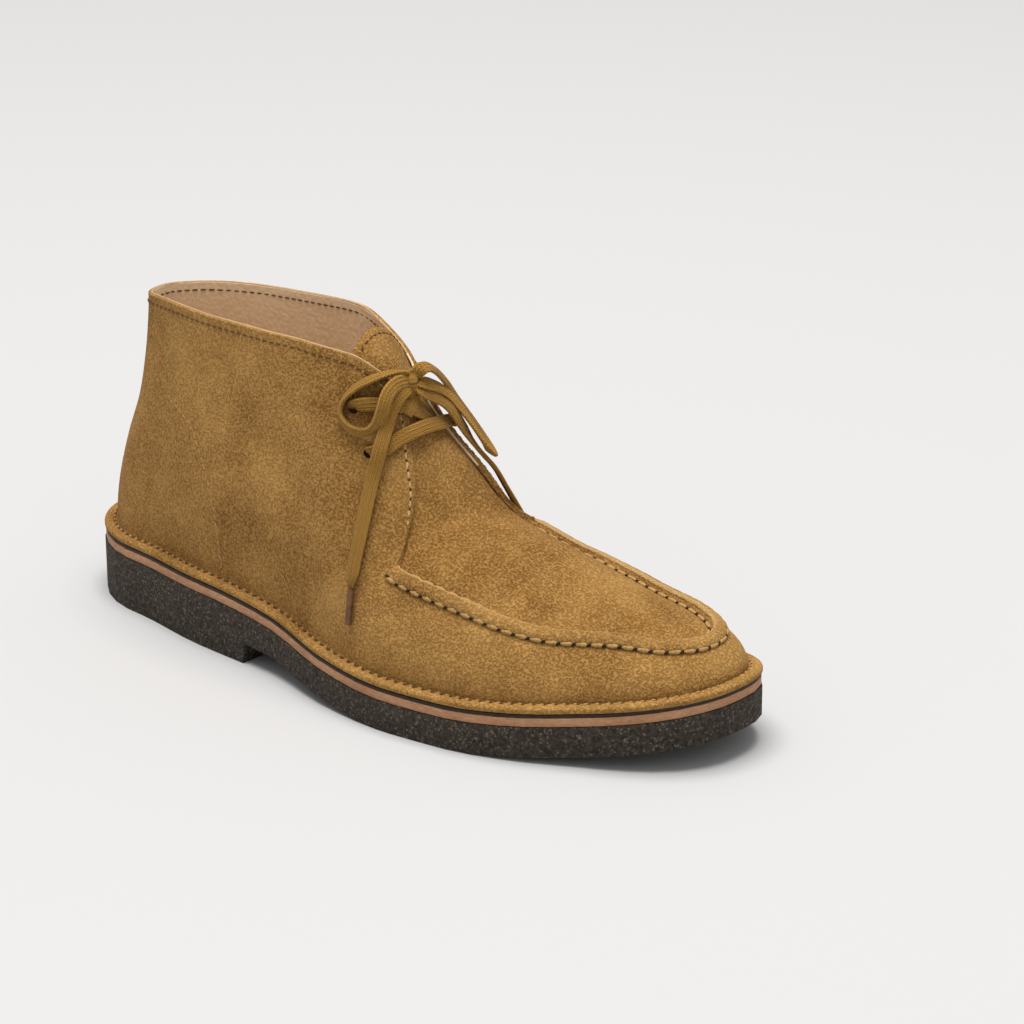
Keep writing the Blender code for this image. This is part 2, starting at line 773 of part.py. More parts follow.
def mesh_of_cord(cord):
    """The cord as one closed mesh, in place of its curve."""
    name = cord.name
    reader = bpy.context.evaluated_depsgraph_get()
    mesh = bpy.data.meshes.new_from_object(cord.evaluated_get(reader))
    curve = cord.data
    bpy.data.objects.remove(cord)
    bpy.data.curves.remove(curve)
    work = bmesh.new()
    work.from_mesh(mesh)
    bmesh.ops.remove_doubles(work, verts=work.verts, dist=0.00001)
    bmesh.ops.recalc_face_normals(work, faces=work.faces)
    work.to_mesh(mesh)
    work.free()
    mesh.name = name
    solid = bpy.data.objects.new(name, mesh)
    PARTS.objects.link(solid)
    solid.parent = CARRIER
    return solid


def make_upper_bar():
    """The upper bar of the lace, joined with the strand under the knot."""
    bar = make_cord("lace_upper_bar", UPPER_BAR, LACE_RADIUS, BRAID, 0.85)
    strand = make_cord("knot_strand", KNOT_STRAND, LACE_RADIUS, BRAID, 0.85)
    bar = mesh_of_cord(bar)
    strand = mesh_of_cord(strand)
    PARTS.objects.unlink(strand)
    CUTTERS.objects.link(strand)
    strand.hide_render = True
    strand.display_type = "WIRE"
    join = bar.modifiers.new("strand", "BOOLEAN")
    join.operation = "UNION"
    join.solver = "EXACT"
    join.object = strand


def make_knot():
    work = bmesh.new()
    size = Matrix.Diagonal((*(Vector(KNOT_SIZE) * ROUTE_UNIT), 1.0))
    place = Matrix.Translation(Vector(KNOT_CENTRE) * ROUTE_UNIT) @ size
    bmesh.ops.create_uvsphere(work, u_segments=14, v_segments=9, radius=1.0, matrix=place)
    mesh = bpy.data.meshes.new("lace_knot")
    work.to_mesh(mesh)
    work.free()
    mesh.shade_smooth()
    knot = bpy.data.objects.new("lace_knot", mesh)
    PARTS.objects.link(knot)
    knot.parent = CARRIER
    add_material(knot, BRAID, 0.85)


for stale in list(bpy.data.objects):
    bpy.data.objects.remove(stale)
PARTS = bpy.data.collections.new("chukka_boot")
CUTTERS = bpy.data.collections.new("cutters")
CUTTERS.hide_render = True
bpy.context.scene.collection.children.link(PARTS)
bpy.context.scene.collection.children.link(CUTTERS)

# The empty brings the middle of the sole's outline to the world's origin.
CARRIER = bpy.data.objects.new("boot_centre", None)
PARTS.objects.link(CARRIER)
edge_ys = [edge_point(i / 200.0).y for i in range(400)]
CARRIER.location = (-LENGTH / 2.0, -(min(edge_ys) + max(edge_ys)) / 2.0, 0.0)

make_upper()
make_apron_tongue()
slab("outsole", -CREPE_OVERHANG, crepe_bottom, crepe_top, (1.0, 0.94, 0.5), CREPE, 0.95,
     steps=(HEEL_LENGTH, HEEL_LENGTH + BREAST_SLANT, HEEL_RUN_OUT[1] * LENGTH,
            SPRING_START * LENGTH))
slab("midsole", 0.0, midsole_bottom, midsole_top, (1.0, 0.5), LEATHER_EDGE, 0.7)
slab("welt_layer", 0.0, welt_bottom, welt_top, (1.0, 0.5), WELT_DARK, 0.8)
slab("insole", FLANGE_WIDTH + WALL + CLEARANCE, insole_bottom, insole_top, (1.0, 0.5),
     LINING, 0.7)
make_backstay()
make_upper_bar()
make_cord("lace_lower_bar", LOWER_BAR, LACE_RADIUS, BRAID, 0.85)
make_knot()
make_cord("lace_loop_lateral", LATERAL_LOOP, LACE_RADIUS, BRAID, 0.85)
make_cord("lace_loop_medial", MEDIAL_LOOP, LACE_RADIUS, BRAID, 0.85)
make_cord("lace_end_lateral", LATERAL_END, LACE_RADIUS, BRAID, 0.85)
make_cord("lace_end_medial", MEDIAL_END, LACE_RADIUS, BRAID, 0.85)
make_cord("aglet_lateral", LATERAL_AGLET, AGLET_RADIUS, AGLET_BROWN, 0.4)
make_cord("aglet_medial", MEDIAL_AGLET, AGLET_RADIUS, AGLET_BROWN, 0.4)
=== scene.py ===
# %% [markdown]
# This is a suede chukka boot with a moccasin toe. Its solids come packed in
# one frame. Here they are loaded, dressed in suede, thread and crepe rubber,
# and shown under studio light. The dressed boot must not outgrow it.

# %% Load the boot's solids
import math

import bmesh
import bpy
import numpy as np
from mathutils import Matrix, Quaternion, Vector
from mathutils.bvhtree import BVHTree


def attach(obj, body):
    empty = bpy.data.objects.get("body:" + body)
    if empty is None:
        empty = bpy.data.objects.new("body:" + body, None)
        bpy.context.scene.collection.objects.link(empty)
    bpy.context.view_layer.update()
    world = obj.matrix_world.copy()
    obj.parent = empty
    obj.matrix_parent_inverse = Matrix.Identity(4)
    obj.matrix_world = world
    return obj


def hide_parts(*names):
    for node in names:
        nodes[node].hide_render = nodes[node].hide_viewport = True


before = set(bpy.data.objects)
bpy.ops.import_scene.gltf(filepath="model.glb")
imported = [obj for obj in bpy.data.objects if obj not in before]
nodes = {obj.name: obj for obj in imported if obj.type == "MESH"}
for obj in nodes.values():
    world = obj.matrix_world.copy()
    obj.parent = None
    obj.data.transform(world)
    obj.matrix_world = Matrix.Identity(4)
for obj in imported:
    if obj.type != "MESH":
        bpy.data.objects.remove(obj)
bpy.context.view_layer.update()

print("solids:", sorted(nodes))

# %% [markdown]
# The camera stands where the photographer stood: low, in front of the little
# toe and about 1.4 m away, with a long lens. A long lens flattens the boot
# as the picture does, so the place and the lens have to be right together.


# %% Camera
def add_object(name, data):
    piece = bpy.data.objects.new(name, data)
    bpy.context.scene.collection.objects.link(piece)
    return piece


camera_data = bpy.data.cameras.new("studio_camera")
camera_data.sensor_width = 36.0
camera_data.lens = 129.3
camera = add_object("studio_camera", camera_data)
camera.location = (0.8731, -0.9227, 0.5407)
camera.rotation_mode = "QUATERNION"
aim = Vector((-0.62018, 0.69980, -0.35449))
roll = Quaternion((0.0, 0.0, 1.0), math.radians(-0.26))
camera.rotation_quaternion = aim.to_track_quat("-Z", "Y") @ roll
bpy.context.scene.camera = camera
print("camera looks down by", round(-math.degrees(math.asin(aim.z)), 1), "degrees")

# %% [markdown]
# Every seam and stitch of the boot follows its last, the wooden foot that it
# was made on. The last is described here once, in the boot's own frame: an
# outline for the sole, and for each side a table of where the wall's top
# edge stands. A place on the upper is then two numbers: the way round the
# boot (0 to 1 is the outside from heel to toe, 1 to 2 the inside back to the
# heel) and the share t of the height from the flange to the top edge.

# %% Sizes of the last
to_frame = Vector((-0.150, 0.003009, 0.0))
UP = Vector((0.0, 0.0, 1.0))
LENGTH = 0.300
BALL_WIDTH = 0.100
HEEL_CAP = 0.040
TOE_CAP = 0.090
HEEL_THICKNESS = 0.0212
FORE_THICKNESS = 0.0114
TOE_SPRING = 0.011
MIDSOLE_THICKNESS = 0.0032
WELT_THICKNESS = 0.0010
CLEARANCE = 0.0003

# Shares of LENGTH where the heel's thickness starts and stops to run out,
# and where the toe starts to rise.
HEEL_RUN_OUT = (0.27, 0.64)
SPRING_START = 0.68

# Upper
SHAFT_HEIGHT = 0.100
WALL = 0.0020
FLANGE_WIDTH = 0.0045
RIDGE_WIDTH = 0.0052
EYELET_BORE = 0.0044

# Pull of the wall's curve at its foot and at its edge, as shares of the
# straight way between them, and the small steps that find its facing.
FOOT_PULL = 0.37
EDGE_PULL = 0.36
EDGE_STEP = 0.006
WAY_STEP = 0.004
HEIGHT_STEP = 0.02

# The outline of the sole: share of LENGTH, then the middle line and the half
# width as shares of BALL_WIDTH, before the two ends are rounded off.
OUTLINE = [
    (0.00, 0.000, 0.350),
    (0.12, 0.000, 0.352),
    (0.27, -0.029, 0.389),
    (0.40, -0.050, 0.395),
    (0.52, -0.073, 0.453),
    (0.64, -0.045, 0.500),
    (0.72, -0.015, 0.500),
    (0.80, 0.020, 0.474),
    (0.88, 0.062, 0.439),
    (1.00, 0.112, 0.430),
]
HEEL_ROUND = 1.95
TOE_ROUND = 2.4
OUTLINE_STEPS = 500

# The top edge of the upper, once for each side, from the heel to the toe:
# way along the outline as a share of its length, distance in from the
# outline as a share of BALL_WIDTH, height over the flange as a share of
# SHAFT_HEIGHT, and the lean of the wall in degrees, outward at its foot and
# inward at its edge.
LATERAL = [
    (0.000, 0.262, 0.940, 0, 0),
    (0.040, 0.2555, 0.941, 0, 0),
    (0.080, 0.232, 0.944, 0, 0),
    (0.120, 0.189, 0.952, 2, 0),
    (0.160, 0.151, 0.964, 4, 0),
    (0.220, 0.120, 0.979, 8, 0),
    (0.300, 0.130, 0.985, 10, 2),
    (0.360, 0.145, 0.998, 10, 5),
    (0.410, 0.180, 1.014, 8, 11),
    (0.455, 0.255, 1.020, 6, 20),
    (0.483, 0.322, 0.985, 5, 30),
    (0.497, 0.368, 0.936, 5, 38),
    (0.517, 0.394, 0.840, 5, 44),
    (0.534, 0.368, 0.730, 5, 48),
    (0.551, 0.346, 0.618, 5, 52),
    (0.560, 0.305, 0.518, 5, 50),
    (0.569, 0.228, 0.418, 5, 45),
    (0.576, 0.178, 0.372, 6, 42),
    (0.605, 0.178, 0.356, 8, 42),
    (0.650, 0.178, 0.330, 8, 42),
    (0.695, 0.182, 0.300, 8, 45),
    (0.740, 0.183, 0.258, 8, 50),
    (0.790, 0.186, 0.222, 7, 55),
    (0.850, 0.190, 0.200, 6, 60),
    (0.920, 0.180, 0.150, 5, 63),
    (1.000, 0.178, 0.118, 5, 65),
]
MEDIAL = [
    (0.000, 0.262, 0.940, 0, 0),
    (0.040, 0.2555, 0.938, 0, 0),
    (0.080, 0.234, 0.933, 0, 0),
    (0.120, 0.190, 0.926, 2, 0),
    (0.160, 0.141, 0.922, 4, 0),
    (0.220, 0.085, 0.926, 8, 0),
    (0.300, 0.070, 0.938, 10, 2),
    (0.360, 0.065, 0.955, 10, 5),
    (0.410, 0.120, 0.957, 10, 12),
    (0.455, 0.205, 0.945, 10, 22),
    (0.483, 0.280, 0.925, 9, 32),
    (0.497, 0.322, 0.895, 9, 40),
    (0.517, 0.334, 0.813, 9, 45),
    (0.536, 0.322, 0.720, 9, 48),
    (0.562, 0.300, 0.608, 9, 52),
    (0.580, 0.262, 0.505, 9, 50),
    (0.589, 0.190, 0.420, 9, 45),
    (0.597, 0.145, 0.378, 9, 42),
    (0.625, 0.148, 0.355, 9, 42),
    (0.665, 0.158, 0.322, 9, 43),
    (0.710, 0.166, 0.295, 9, 46),
    (0.750, 0.174, 0.276, 8, 50),
    (0.800, 0.182, 0.247, 7, 55),
    (0.855, 0.180, 0.214, 6, 60),
    (0.920, 0.175, 0.162, 5, 63),
    (1.000, 0.178, 0.118, 5, 65),
]
EYELETS = [(0.4760, 0.0168), (0.5063, 0.0236)]
print("last:", LENGTH * 1000, "by", BALL_WIDTH * 1000, "mm")


# %% Lines of the sole and the wall
def smooth_step(start, end, at):
    """Zero before start, one after end, with a smooth rise between."""
    share = min(1.0, max(0.0, (at - start) / (end - start)))
    return share * share * (3.0 - 2.0 * share)


def blend(table, column, at, level_ends=False):
    """The smooth value of one column of a table, with no overshoot."""
    places = [row[0] for row in table]
    values = [row[column] for row in table]
    last = len(places) - 1
    at = min(places[last], max(places[0], at))
    here = 0
    while here < last - 1 and at > places[here + 1]:
        here += 1
    rises = []
    for i in range(last):
        rises.append((values[i + 1] - values[i]) / (places[i + 1] - places[i]))

    def slope(i):
        if i == 0:
            return 0.0 if level_ends else rises[0]
        if i == last:
            return 0.0 if level_ends else rises[last - 1]
        before = rises[i - 1]
        after = rises[i]
        if before * after <= 0.0:
            return 0.0
        return 2.0 * before * after / (before + after)

    width = places[here + 1] - places[here]
    t = (at - places[here]) / width
    a = values[here]
    b = values[here + 1]
    m = slope(here) * width
    n = slope(here + 1) * width
    value = a * (2 * t ** 3 - 3 * t ** 2 + 1) + b * (3 * t ** 2 - 2 * t ** 3)
    return value + m * (t ** 3 - 2 * t ** 2 + t) + n * (t ** 3 - t ** 2)


def cap_share(distance, length, power):
    """How much of its width the outline keeps this far from an end."""
    if distance >= length:
        return 1.0
    share = 1.0 - max(0.0, distance) / length
    return max(0.0, 1.0 - share ** power) ** (1.0 / power)


def middle_line(x):
    return BALL_WIDTH * blend(OUTLINE, 1, x / LENGTH)


def trace_side(side):
    """Points of the sole's edge from heel to toe with their arc shares."""
    points = []
    for i in range(OUTLINE_STEPS + 1):
        x = LENGTH * (1.0 - math.cos(math.pi * i / OUTLINE_STEPS)) / 2.0
        half = BALL_WIDTH * blend(OUTLINE, 2, x / LENGTH)
        half *= cap_share(x, HEEL_CAP, HEEL_ROUND)
        half *= cap_share(LENGTH - x, TOE_CAP, TOE_ROUND)
        points.append(Vector((x, middle_line(x) + side * half)))
    arcs = [0.0]
    for i in range(OUTLINE_STEPS):
        arcs.append(arcs[-1] + (points[i + 1] - points[i]).length)
    return points, [arc / arcs[-1] for arc in arcs]


SIDES = {-1: trace_side(-1), 1: trace_side(1)}


def edge_point(way):
    """The sole's edge: way 0 to 1 is the lateral side, 1 to 2 the medial."""
    way = way % 2.0
    side = -1 if way <= 1.0 else 1
    share = way if way <= 1.0 else 2.0 - way
    points, shares = SIDES[side]
    low = 0
    high = len(shares) - 1
    while high - low > 1:
        half = (low + high) // 2
        if shares[half] <= share:
            low = half
        else:
            high = half
    t = (share - shares[low]) / (shares[high] - shares[low])
    return points[low].lerp(points[high], t)


def inward(way):
    """The unit direction from the sole's edge into the sole."""
    run = edge_point(way + EDGE_STEP) - edge_point(way - EDGE_STEP)
    return Vector((-run.y, run.x)).normalized()


def toe_spring(x):
    share = max(0.0, (x / LENGTH - SPRING_START) / (1.0 - SPRING_START))
    return TOE_SPRING * share * share


def flange_bottom(x):
    """The top of the crepe, with two layers on it and air between them."""
    heel = 1.0 - smooth_step(HEEL_RUN_OUT[0] * LENGTH, HEEL_RUN_OUT[1] * LENGTH, x)
    crepe = FORE_THICKNESS + (HEEL_THICKNESS - FORE_THICKNESS) * heel + toe_spring(x)
    return crepe + MIDSOLE_THICKNESS + WELT_THICKNESS + 3.0 * CLEARANCE


def flange_top(x):
    return flange_bottom(x) + WALL


def side_value(way, column):
    """A value of the top edge's table at this way round the boot."""
    way = way % 2.0
    if way <= 1.0:
        return blend(LATERAL, column, way, level_ends=True)
    return blend(MEDIAL, column, 2.0 - way, level_ends=True)


def wall_handles(way):
    """The four control points of the wall's curve at one way round."""
    edge = edge_point(way)
    to_inside = inward(way)
    foot = edge + to_inside * FLANGE_WIDTH
    head = edge + to_inside * side_value(way, 1) * BALL_WIDTH
    inside = Vector((to_inside.x, to_inside.y, 0.0))
    low = Vector((foot.x, foot.y, flange_top(foot.x)))
    rise = side_value(way, 2) * SHAFT_HEIGHT
    high = Vector((head.x, head.y, flange_top(edge.x) + rise))
    belly = math.radians(side_value(way, 3))
    lean = math.radians(side_value(way, 4))
    span = (high - low).length
    start = UP * math.cos(belly) - inside * math.sin(belly)
    end = UP * math.cos(lean) + inside * math.sin(lean)
    return low, low + start * span * FOOT_PULL, high - end * span * EDGE_PULL, high


def wall_point(way, t):
    """A point of the wall, t 0 at the flange and 1 at the top edge."""
    a, b, c, d = wall_handles(way)
    s = 1.0 - t
    return a * s ** 3 + b * 3 * s * s * t + c * 3 * s * t * t + d * t ** 3


def wall_share(way, distance):
    """The share t at a distance down from the top edge."""
    handles = wall_handles(way)
    return 1.0 - distance / (3.0 * (handles[3] - handles[2]).length)


def wall_out(way, t):
    """The unit direction out of the wall."""
    run = wall_point(way + WAY_STEP, t) - wall_point(way - WAY_STEP, t)
    low = max(0.0, t - HEIGHT_STEP)
    high = min(1.0, t + HEIGHT_STEP)
    rise = wall_point(way, high) - wall_point(way, low)
    return run.cross(rise).normalized()


def on_wall(way, t, lift=0.0):
    """A place on the upper in the boot's frame, lifted off its outer face."""
    return wall_point(way, t) + wall_out(way, t) * lift + to_frame


def below_edge(way, distance, lift=0.0):
    """A place on the upper this far below its top edge."""
    return on_wall(way, wall_share(way, distance), lift)


print("top edge at the heel:", [round(v * 1000) for v in on_wall(0.0, 1.0)], "mm")

# %% [markdown]
# A floor and soft lamps make the studio. One broad lamp from the upper left
# gives the slow fall of light over the suede, and a pale room fills the
# shadow, which stays soft and close under the sole.

# %% Floor and lamps
bpy.ops.object.select_all(action="DESELECT")
bpy.ops.mesh.primitive_plane_add(size=14.0, location=(0.0, 0.0, 0.0))
floor = bpy.context.active_object
floor.name = "studio_floor"
floor_material = bpy.data.materials.new("studio_floor")
floor_material.use_nodes = True
floor_surface = floor_material.node_tree.nodes["Principled BSDF"]
floor_surface.inputs["Base Color"].default_value = (0.575, 0.575, 0.58, 1.0)
floor_surface.inputs["Roughness"].default_value = 0.9
floor_surface.inputs["Specular IOR Level"].default_value = 0.1
floor.data.materials.append(floor_material)


def add_lamp(name, place, aim_at, size, power, color):
    lamp_data = bpy.data.lights.new(name, "AREA")
    lamp_data.shape = "DISK"
    lamp_data.size = size
    lamp_data.energy = power
    lamp_data.color = color
    lamp = add_object(name, lamp_data)
    lamp.location = place
    lamp.rotation_mode = "QUATERNION"
    lamp.rotation_quaternion = (Vector(aim_at) - Vector(place)).to_track_quat("-Z", "Y")


add_lamp("soft_key", (-0.05, -0.15, 3.4), (0.0, 0.0, 0.05), 2.5, 136.0, (1.0, 0.985, 0.96))
add_lamp("front_fill", (1.6, -0.6, 1.5), (0.0, 0.0, 0.05), 1.4, 2.0, (1.0, 1.0, 1.0))
world = bpy.data.worlds.new("pale_room")
world.use_nodes = True
world.node_tree.nodes["Background"].inputs["Color"].default_value = (1.0, 1.0, 1.0, 1.0)
world.node_tree.nodes["Background"].inputs["Strength"].default_value = 0.46
bpy.context.scene.world = world
bpy.context.scene.view_settings.view_transform = "Standard"

# %% [markdown]
# A material is a small graph of nodes. These helpers make one node each, or
# a usual pair of them, so that every material below reads as a recipe.


# %% Helpers for shader nodes
def feed(tree, socket, value):
    """Link a value into a socket, or set the socket to a number or a color."""
    if isinstance(value, bpy.types.NodeSocket):
        tree.links.new(value, socket)
    else:
        socket.default_value = (*value, 1.0) if socket.type == "RGBA" else value


def feed_all(tree, node, inputs):
    """Feed inputs by their names. An underscore stands for a space."""
    for label, value in inputs.items():
        feed(tree, node.inputs[label.replace("_", " ")], value)


def add_node(tree, kind, **inputs):
    node = tree.nodes.new("ShaderNode" + kind)
    feed_all(tree, node, inputs)
    return node


def remap(tree, value, low, high, new_low=0.0, new_high=1.0):
    step = add_node(tree, "MapRange", Value=value, From_Min=low, From_Max=high,
                    To_Min=new_low, To_Max=new_high)
    return step.outputs["Result"]


def add_noise(tree, vector, scale, detail, spread=0.20, roughness=0.5):
    """Noise, stretched until 0.5 less or more the spread is 0 or 1."""
    noise = add_node(tree, "TexNoise", Vector=vector, Scale=scale, Detail=detail, Roughness=roughness)
    return remap(tree, noise.outputs["Fac"], 0.5 - spread, 0.5 + spread)


def calculate(tree, operation, first, second):
    node = tree.nodes.new("ShaderNodeMath")
    node.operation = operation
    for socket, value in zip(node.inputs, (first, second)):
        feed(tree, socket, value)
    return node.outputs["Value"]


def weigh(tree, *terms):
    """The sum of some values, each times its own share."""
    total = 0.0
    for value, share in terms:
        total = calculate(tree, "ADD", total, calculate(tree, "MULTIPLY", value, share))
    return total


def mix_colors(tree, factor, first, second):
    mix = tree.nodes.new("ShaderNodeMix")
    mix.data_type = "RGBA"
    for place, value in ((0, factor), (6, first), (7, second)):
        feed(tree, mix.inputs[place], value)
    return mix.outputs[2]


def object_coordinates(tree):
    return tree.nodes.new("ShaderNodeTexCoord").outputs["Object"]


def map_coordinates(tree):
    """A swept piece's own map: the way along it, and the way round it."""
    mapped = tree.nodes.new("ShaderNodeUVMap")
    mapped.uv_map = "along"
    split = add_node(tree, "SeparateXYZ", Vector=mapped.outputs["UV"])
    return split.outputs["X"], split.outputs["Y"]


def start_material(name, roughness, specular, **inputs):
    material = bpy.data.materials.new(name)
    material.use_nodes = True
    tree = material.node_tree
    inputs.update(Roughness=roughness, Specular_IOR_Level=specular)
    feed_all(tree, tree.nodes["Principled BSDF"], inputs)
    return material, tree


def finish_material(material, color, height, bump):
    """Lead the color and a bump of this height into the surface."""
    tree = material.node_tree
    relief = add_node(tree, "Bump", Distance=bump, Strength=1.0, Height=height)
    surface = tree.nodes["Principled BSDF"]
    feed_all(tree, surface, {"Base_Color": color, "Normal": relief.outputs["Normal"]})
    return material


print("helpers for nodes are ready")

# %% [markdown]
# Suede is the flesh side of leather, buffed to a nap of short fibres. Up
# close it is a fine speckle of lit and shaded tips, and from further off it
# is cloudy, because a hand that strokes the nap turns it. One node group
# makes both, from noise at three sizes. It gives a colour and a height, and
# each material that uses it picks its own two tans.

# %% Group: nap of suede
NAP_SCALE = 1080.0
nap_group = bpy.data.node_groups.new("suede_nap", "ShaderNodeTree")
for label, in_out, kind in (
    ("Light", "INPUT", "NodeSocketColor"), ("Dark", "INPUT", "NodeSocketColor"),
    ("Color", "OUTPUT", "NodeSocketColor"), ("Height", "OUTPUT", "NodeSocketFloat"),
):
    nap_group.interface.new_socket(name=label, in_out=in_out, socket_type=kind)
nap_in = nap_group.nodes.new("NodeGroupInput").outputs
nap_out = nap_group.nodes.new("NodeGroupOutput").inputs
space = object_coordinates(nap_group)
cloud = add_noise(nap_group, space, 24.0, 3.0, 0.13)
stroke = add_noise(nap_group, space, 75.0, 3.0)
tips = add_noise(nap_group, space, NAP_SCALE, 2.0, 0.11, 0.65)
tone = weigh(nap_group, (cloud, 0.28), (stroke, 0.22), (tips, 0.50))
feed(nap_group, nap_out["Color"], mix_colors(nap_group, tone, nap_in["Dark"], nap_in["Light"]))
feed(nap_group, nap_out["Height"], tips)
print("group", nap_group.name, "has", len(nap_group.nodes), "nodes")


# %% Suede materials
def suede_material(name, light, dark):
    material, tree = start_material(name, 0.95, 0.12, Sheen_Weight=0.03, Sheen_Roughness=0.5,
                                    Sheen_Tint=(1.0, 0.82, 0.55))
    nap = tree.nodes.new("ShaderNodeGroup")
    nap.node_tree = nap_group
    feed_all(tree, nap, {"Light": light, "Dark": dark})
    return finish_material(material, nap.outputs["Color"], nap.outputs["Height"], 0.00032)


tan_suede = suede_material("tan_suede", (0.540, 0.303, 0.092), (0.155, 0.062, 0.009))
# A darker copy of the tan suede for the back strip: its darker tones are painted shade.
shaded_strip_suede = suede_material("shaded_strip_suede", (0.400, 0.215, 0.060), (0.130, 0.052, 0.009))
print("suedes:", tan_suede.name, shaded_strip_suede.name)

# %% [markdown]
# The lining is smooth pinkish leather with a fine pebble grain. The grain is
# a field of small cells with soft valleys between them, so a Voronoi texture
# gives the height, and the valleys get a little painted shade.


# %% Lining leather
def leather_material(name, color, valley_shade, scale, roughness):
    material, tree = start_material(name, roughness, 0.35)
    space = object_coordinates(tree)
    cells = add_node(tree, "TexVoronoi", Vector=space, Scale=scale)
    cells.feature = "SMOOTH_F1"
    grain = remap(tree, cells.outputs["Distance"], 0.1, 0.75, 1.0, 0.0)
    # Colour follows the grain's height: the valleys are painted darker, as painted shade.
    tone = weigh(tree, (grain, 0.6), (add_noise(tree, space, 45.0, 3.0), 0.4))
    return finish_material(material, mix_colors(tree, tone, valley_shade, color), grain, 0.00012)


leathers = {}
for name, color, valley_shade, scale, roughness in (
    # The lining's very pale colour is partly painted light, raised to make up for the little light that
    # reaches inside the boot.
    ("lining_leather", (0.930, 0.730, 0.490), (0.800, 0.580, 0.360), 620.0, 0.55),
    ("insole_leather", (0.760, 0.540, 0.350), (0.600, 0.400, 0.240), 500.0, 0.5),
    ("edge_binding", (0.860, 0.720, 0.520), (0.700, 0.520, 0.330), 700.0, 0.6),
    # The collar binding's paler tan is partly a painted highlight along the collar's rim.
    ("collar_binding_and_highlight", (0.620, 0.400, 0.210), (0.430, 0.250, 0.110), 700.0, 0.7),
):
    leathers[name] = leather_material(name, color, valley_shade, scale, roughness)
lining_leather = leathers["lining_leather"]
print("leathers:", list(leathers))

# %% [markdown]
# Thread, the lace's hard tips and the painted shade of a hole need little: two shades
# that wander into each other, and a relief of the same noise.


# %% Plain materials
def plain_material(name, light, dark, scale=1800.0, bump=0.0001, roughness=0.7, specular=0.3, **inputs):
    material, tree = start_material(name, roughness, specular, **inputs)
    wander = add_noise(tree, object_coordinates(tree), scale, 2.0)
    return finish_material(material, mix_colors(tree, wander, dark, light), wander, bump)


tan_thread = plain_material("tan_thread", (0.560, 0.350, 0.130), (0.330, 0.180, 0.055))
# Tan thread sunk in its groove, painted dark brown: the groove's shade is painted into its colour.
sunk_thread_painted_shade = plain_material("sunk_thread_painted_shade", (0.150, 0.066, 0.018), (0.070, 0.030, 0.009))
cream_thread = plain_material("cream_thread", (0.720, 0.520, 0.270), (0.440, 0.260, 0.100))
# Painted shade: the dark inside a needle hole, for the flat grains set between stitches.
needle_hole_shade = plain_material("needle_hole_shade", (0.030, 0.014, 0.005), (0.012, 0.006, 0.002))
eyelet_shade = plain_material("eyelet_shade", (0.080, 0.036, 0.012), (0.030, 0.013, 0.005))
brown_tip = plain_material("brown_tip", (0.190, 0.085, 0.032), (0.100, 0.040, 0.014),
                           400.0, 0.00004, 0.4, 0.35, Coat_Weight=0.15)
print("materials so far:", len(bpy.data.materials))

# %% [markdown]
# The lace is a flat cotton braid, about 5.5 mm wide, with four ribs on each
# face. It could be a curve with a flat bevel, but a sweep lets each stretch
# be turned one by one, flat on the leather or on its edge. Its faces carry
# their own map, so the weave follows the braid round every bend.


# %% Lace material
def braid_material(name, light, dark):
    material, tree = start_material(name, 0.8, 0.2, Sheen_Weight=0.05)
    along, around = map_coordinates(tree)
    ribs = calculate(tree, "PINGPONG", calculate(tree, "MULTIPLY", around, 14.0), 0.5)
    yarn = calculate(tree, "PINGPONG", weigh(tree, (along, 900.0), (ribs, 1.6)), 0.5)
    height = weigh(tree, (ribs, 1.0), (yarn, 1.4))
    fuzz = add_noise(tree, object_coordinates(tree), 1500.0, 2.0)
    # Colour follows the height: painted shade in the weave's grooves and a painted highlight on its ribs,
    # with fuzz as random tone.
    tone = weigh(tree, (height, 0.75), (fuzz, 0.30))
    return finish_material(material, mix_colors(tree, tone, dark, light), height, 0.0004)


lace_braid = braid_material("lace_braid", (0.580, 0.310, 0.055), (0.125, 0.048, 0.005))
print("material", lace_braid.name)


# %% Helpers for pieces
def edit_all():
    """Edit mode, with every corner of the active piece selected."""
    bpy.ops.object.mode_set(mode="EDIT")
    bpy.ops.mesh.select_all(action="SELECT")


def set_down(piece, facing, place):
    """Turn a piece's own z axis to a facing, move it, and apply both."""
    piece.rotation_mode = "QUATERNION"
    piece.rotation_quaternion = facing.to_track_quat("Z", "Y")
    piece.location = place
    bpy.ops.object.transform_apply(location=True, rotation=True, scale=True)


def dress(piece, material, slot, *stands_for):
    """Give a piece its material and its place on the boot. slot, its finish, is not used."""
    piece.data.materials.clear()
    piece.data.materials.append(material)
    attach(piece, "root")
    if stands_for:
        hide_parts(*stands_for)
    return piece


def from_millimetres(points):
    return [Vector(point) * 0.001 + to_frame for point in points]


def smooth_line(points, step):
    """Points at even steps on one smooth curve through a route."""
    knots = [Vector(point) for point in points]
    knots = [knots[0] * 2.0 - knots[1]] + knots + [knots[-1] * 2.0 - knots[-2]]
    fine = []
    for i in range(1, len(knots) - 2):
        before, here, after, beyond = knots[i - 1:i + 3]
        for k in range(12):
            t = k / 12.0
            bend = (before * 2.0 - here * 5.0 + after * 4.0 - beyond) * t * t
            twist = (here * 3.0 - before - after * 3.0 + beyond) * t ** 3
            fine.append((here * 2.0 + (after - before) * t + bend + twist) * 0.5)
    fine.append(knots[-2])
    lengths = [0.0]
    for a, b in zip(fine, fine[1:]):
        lengths.append(lengths[-1] + (b - a).length)
    count = max(2, round(lengths[-1] / step))
    even = []
    here = 0
    for i in range(count + 1):
        target = lengths[-1] * i / count
        while here < len(lengths) - 2 and lengths[here + 1] < target:
            here += 1
        share = (target - lengths[here]) / (lengths[here + 1] - lengths[here])
        even.append(fine[here].lerp(fine[here + 1], share))
    return even


def length_of(path):
    return sum((b - a).length for a, b in zip(path, path[1:]))


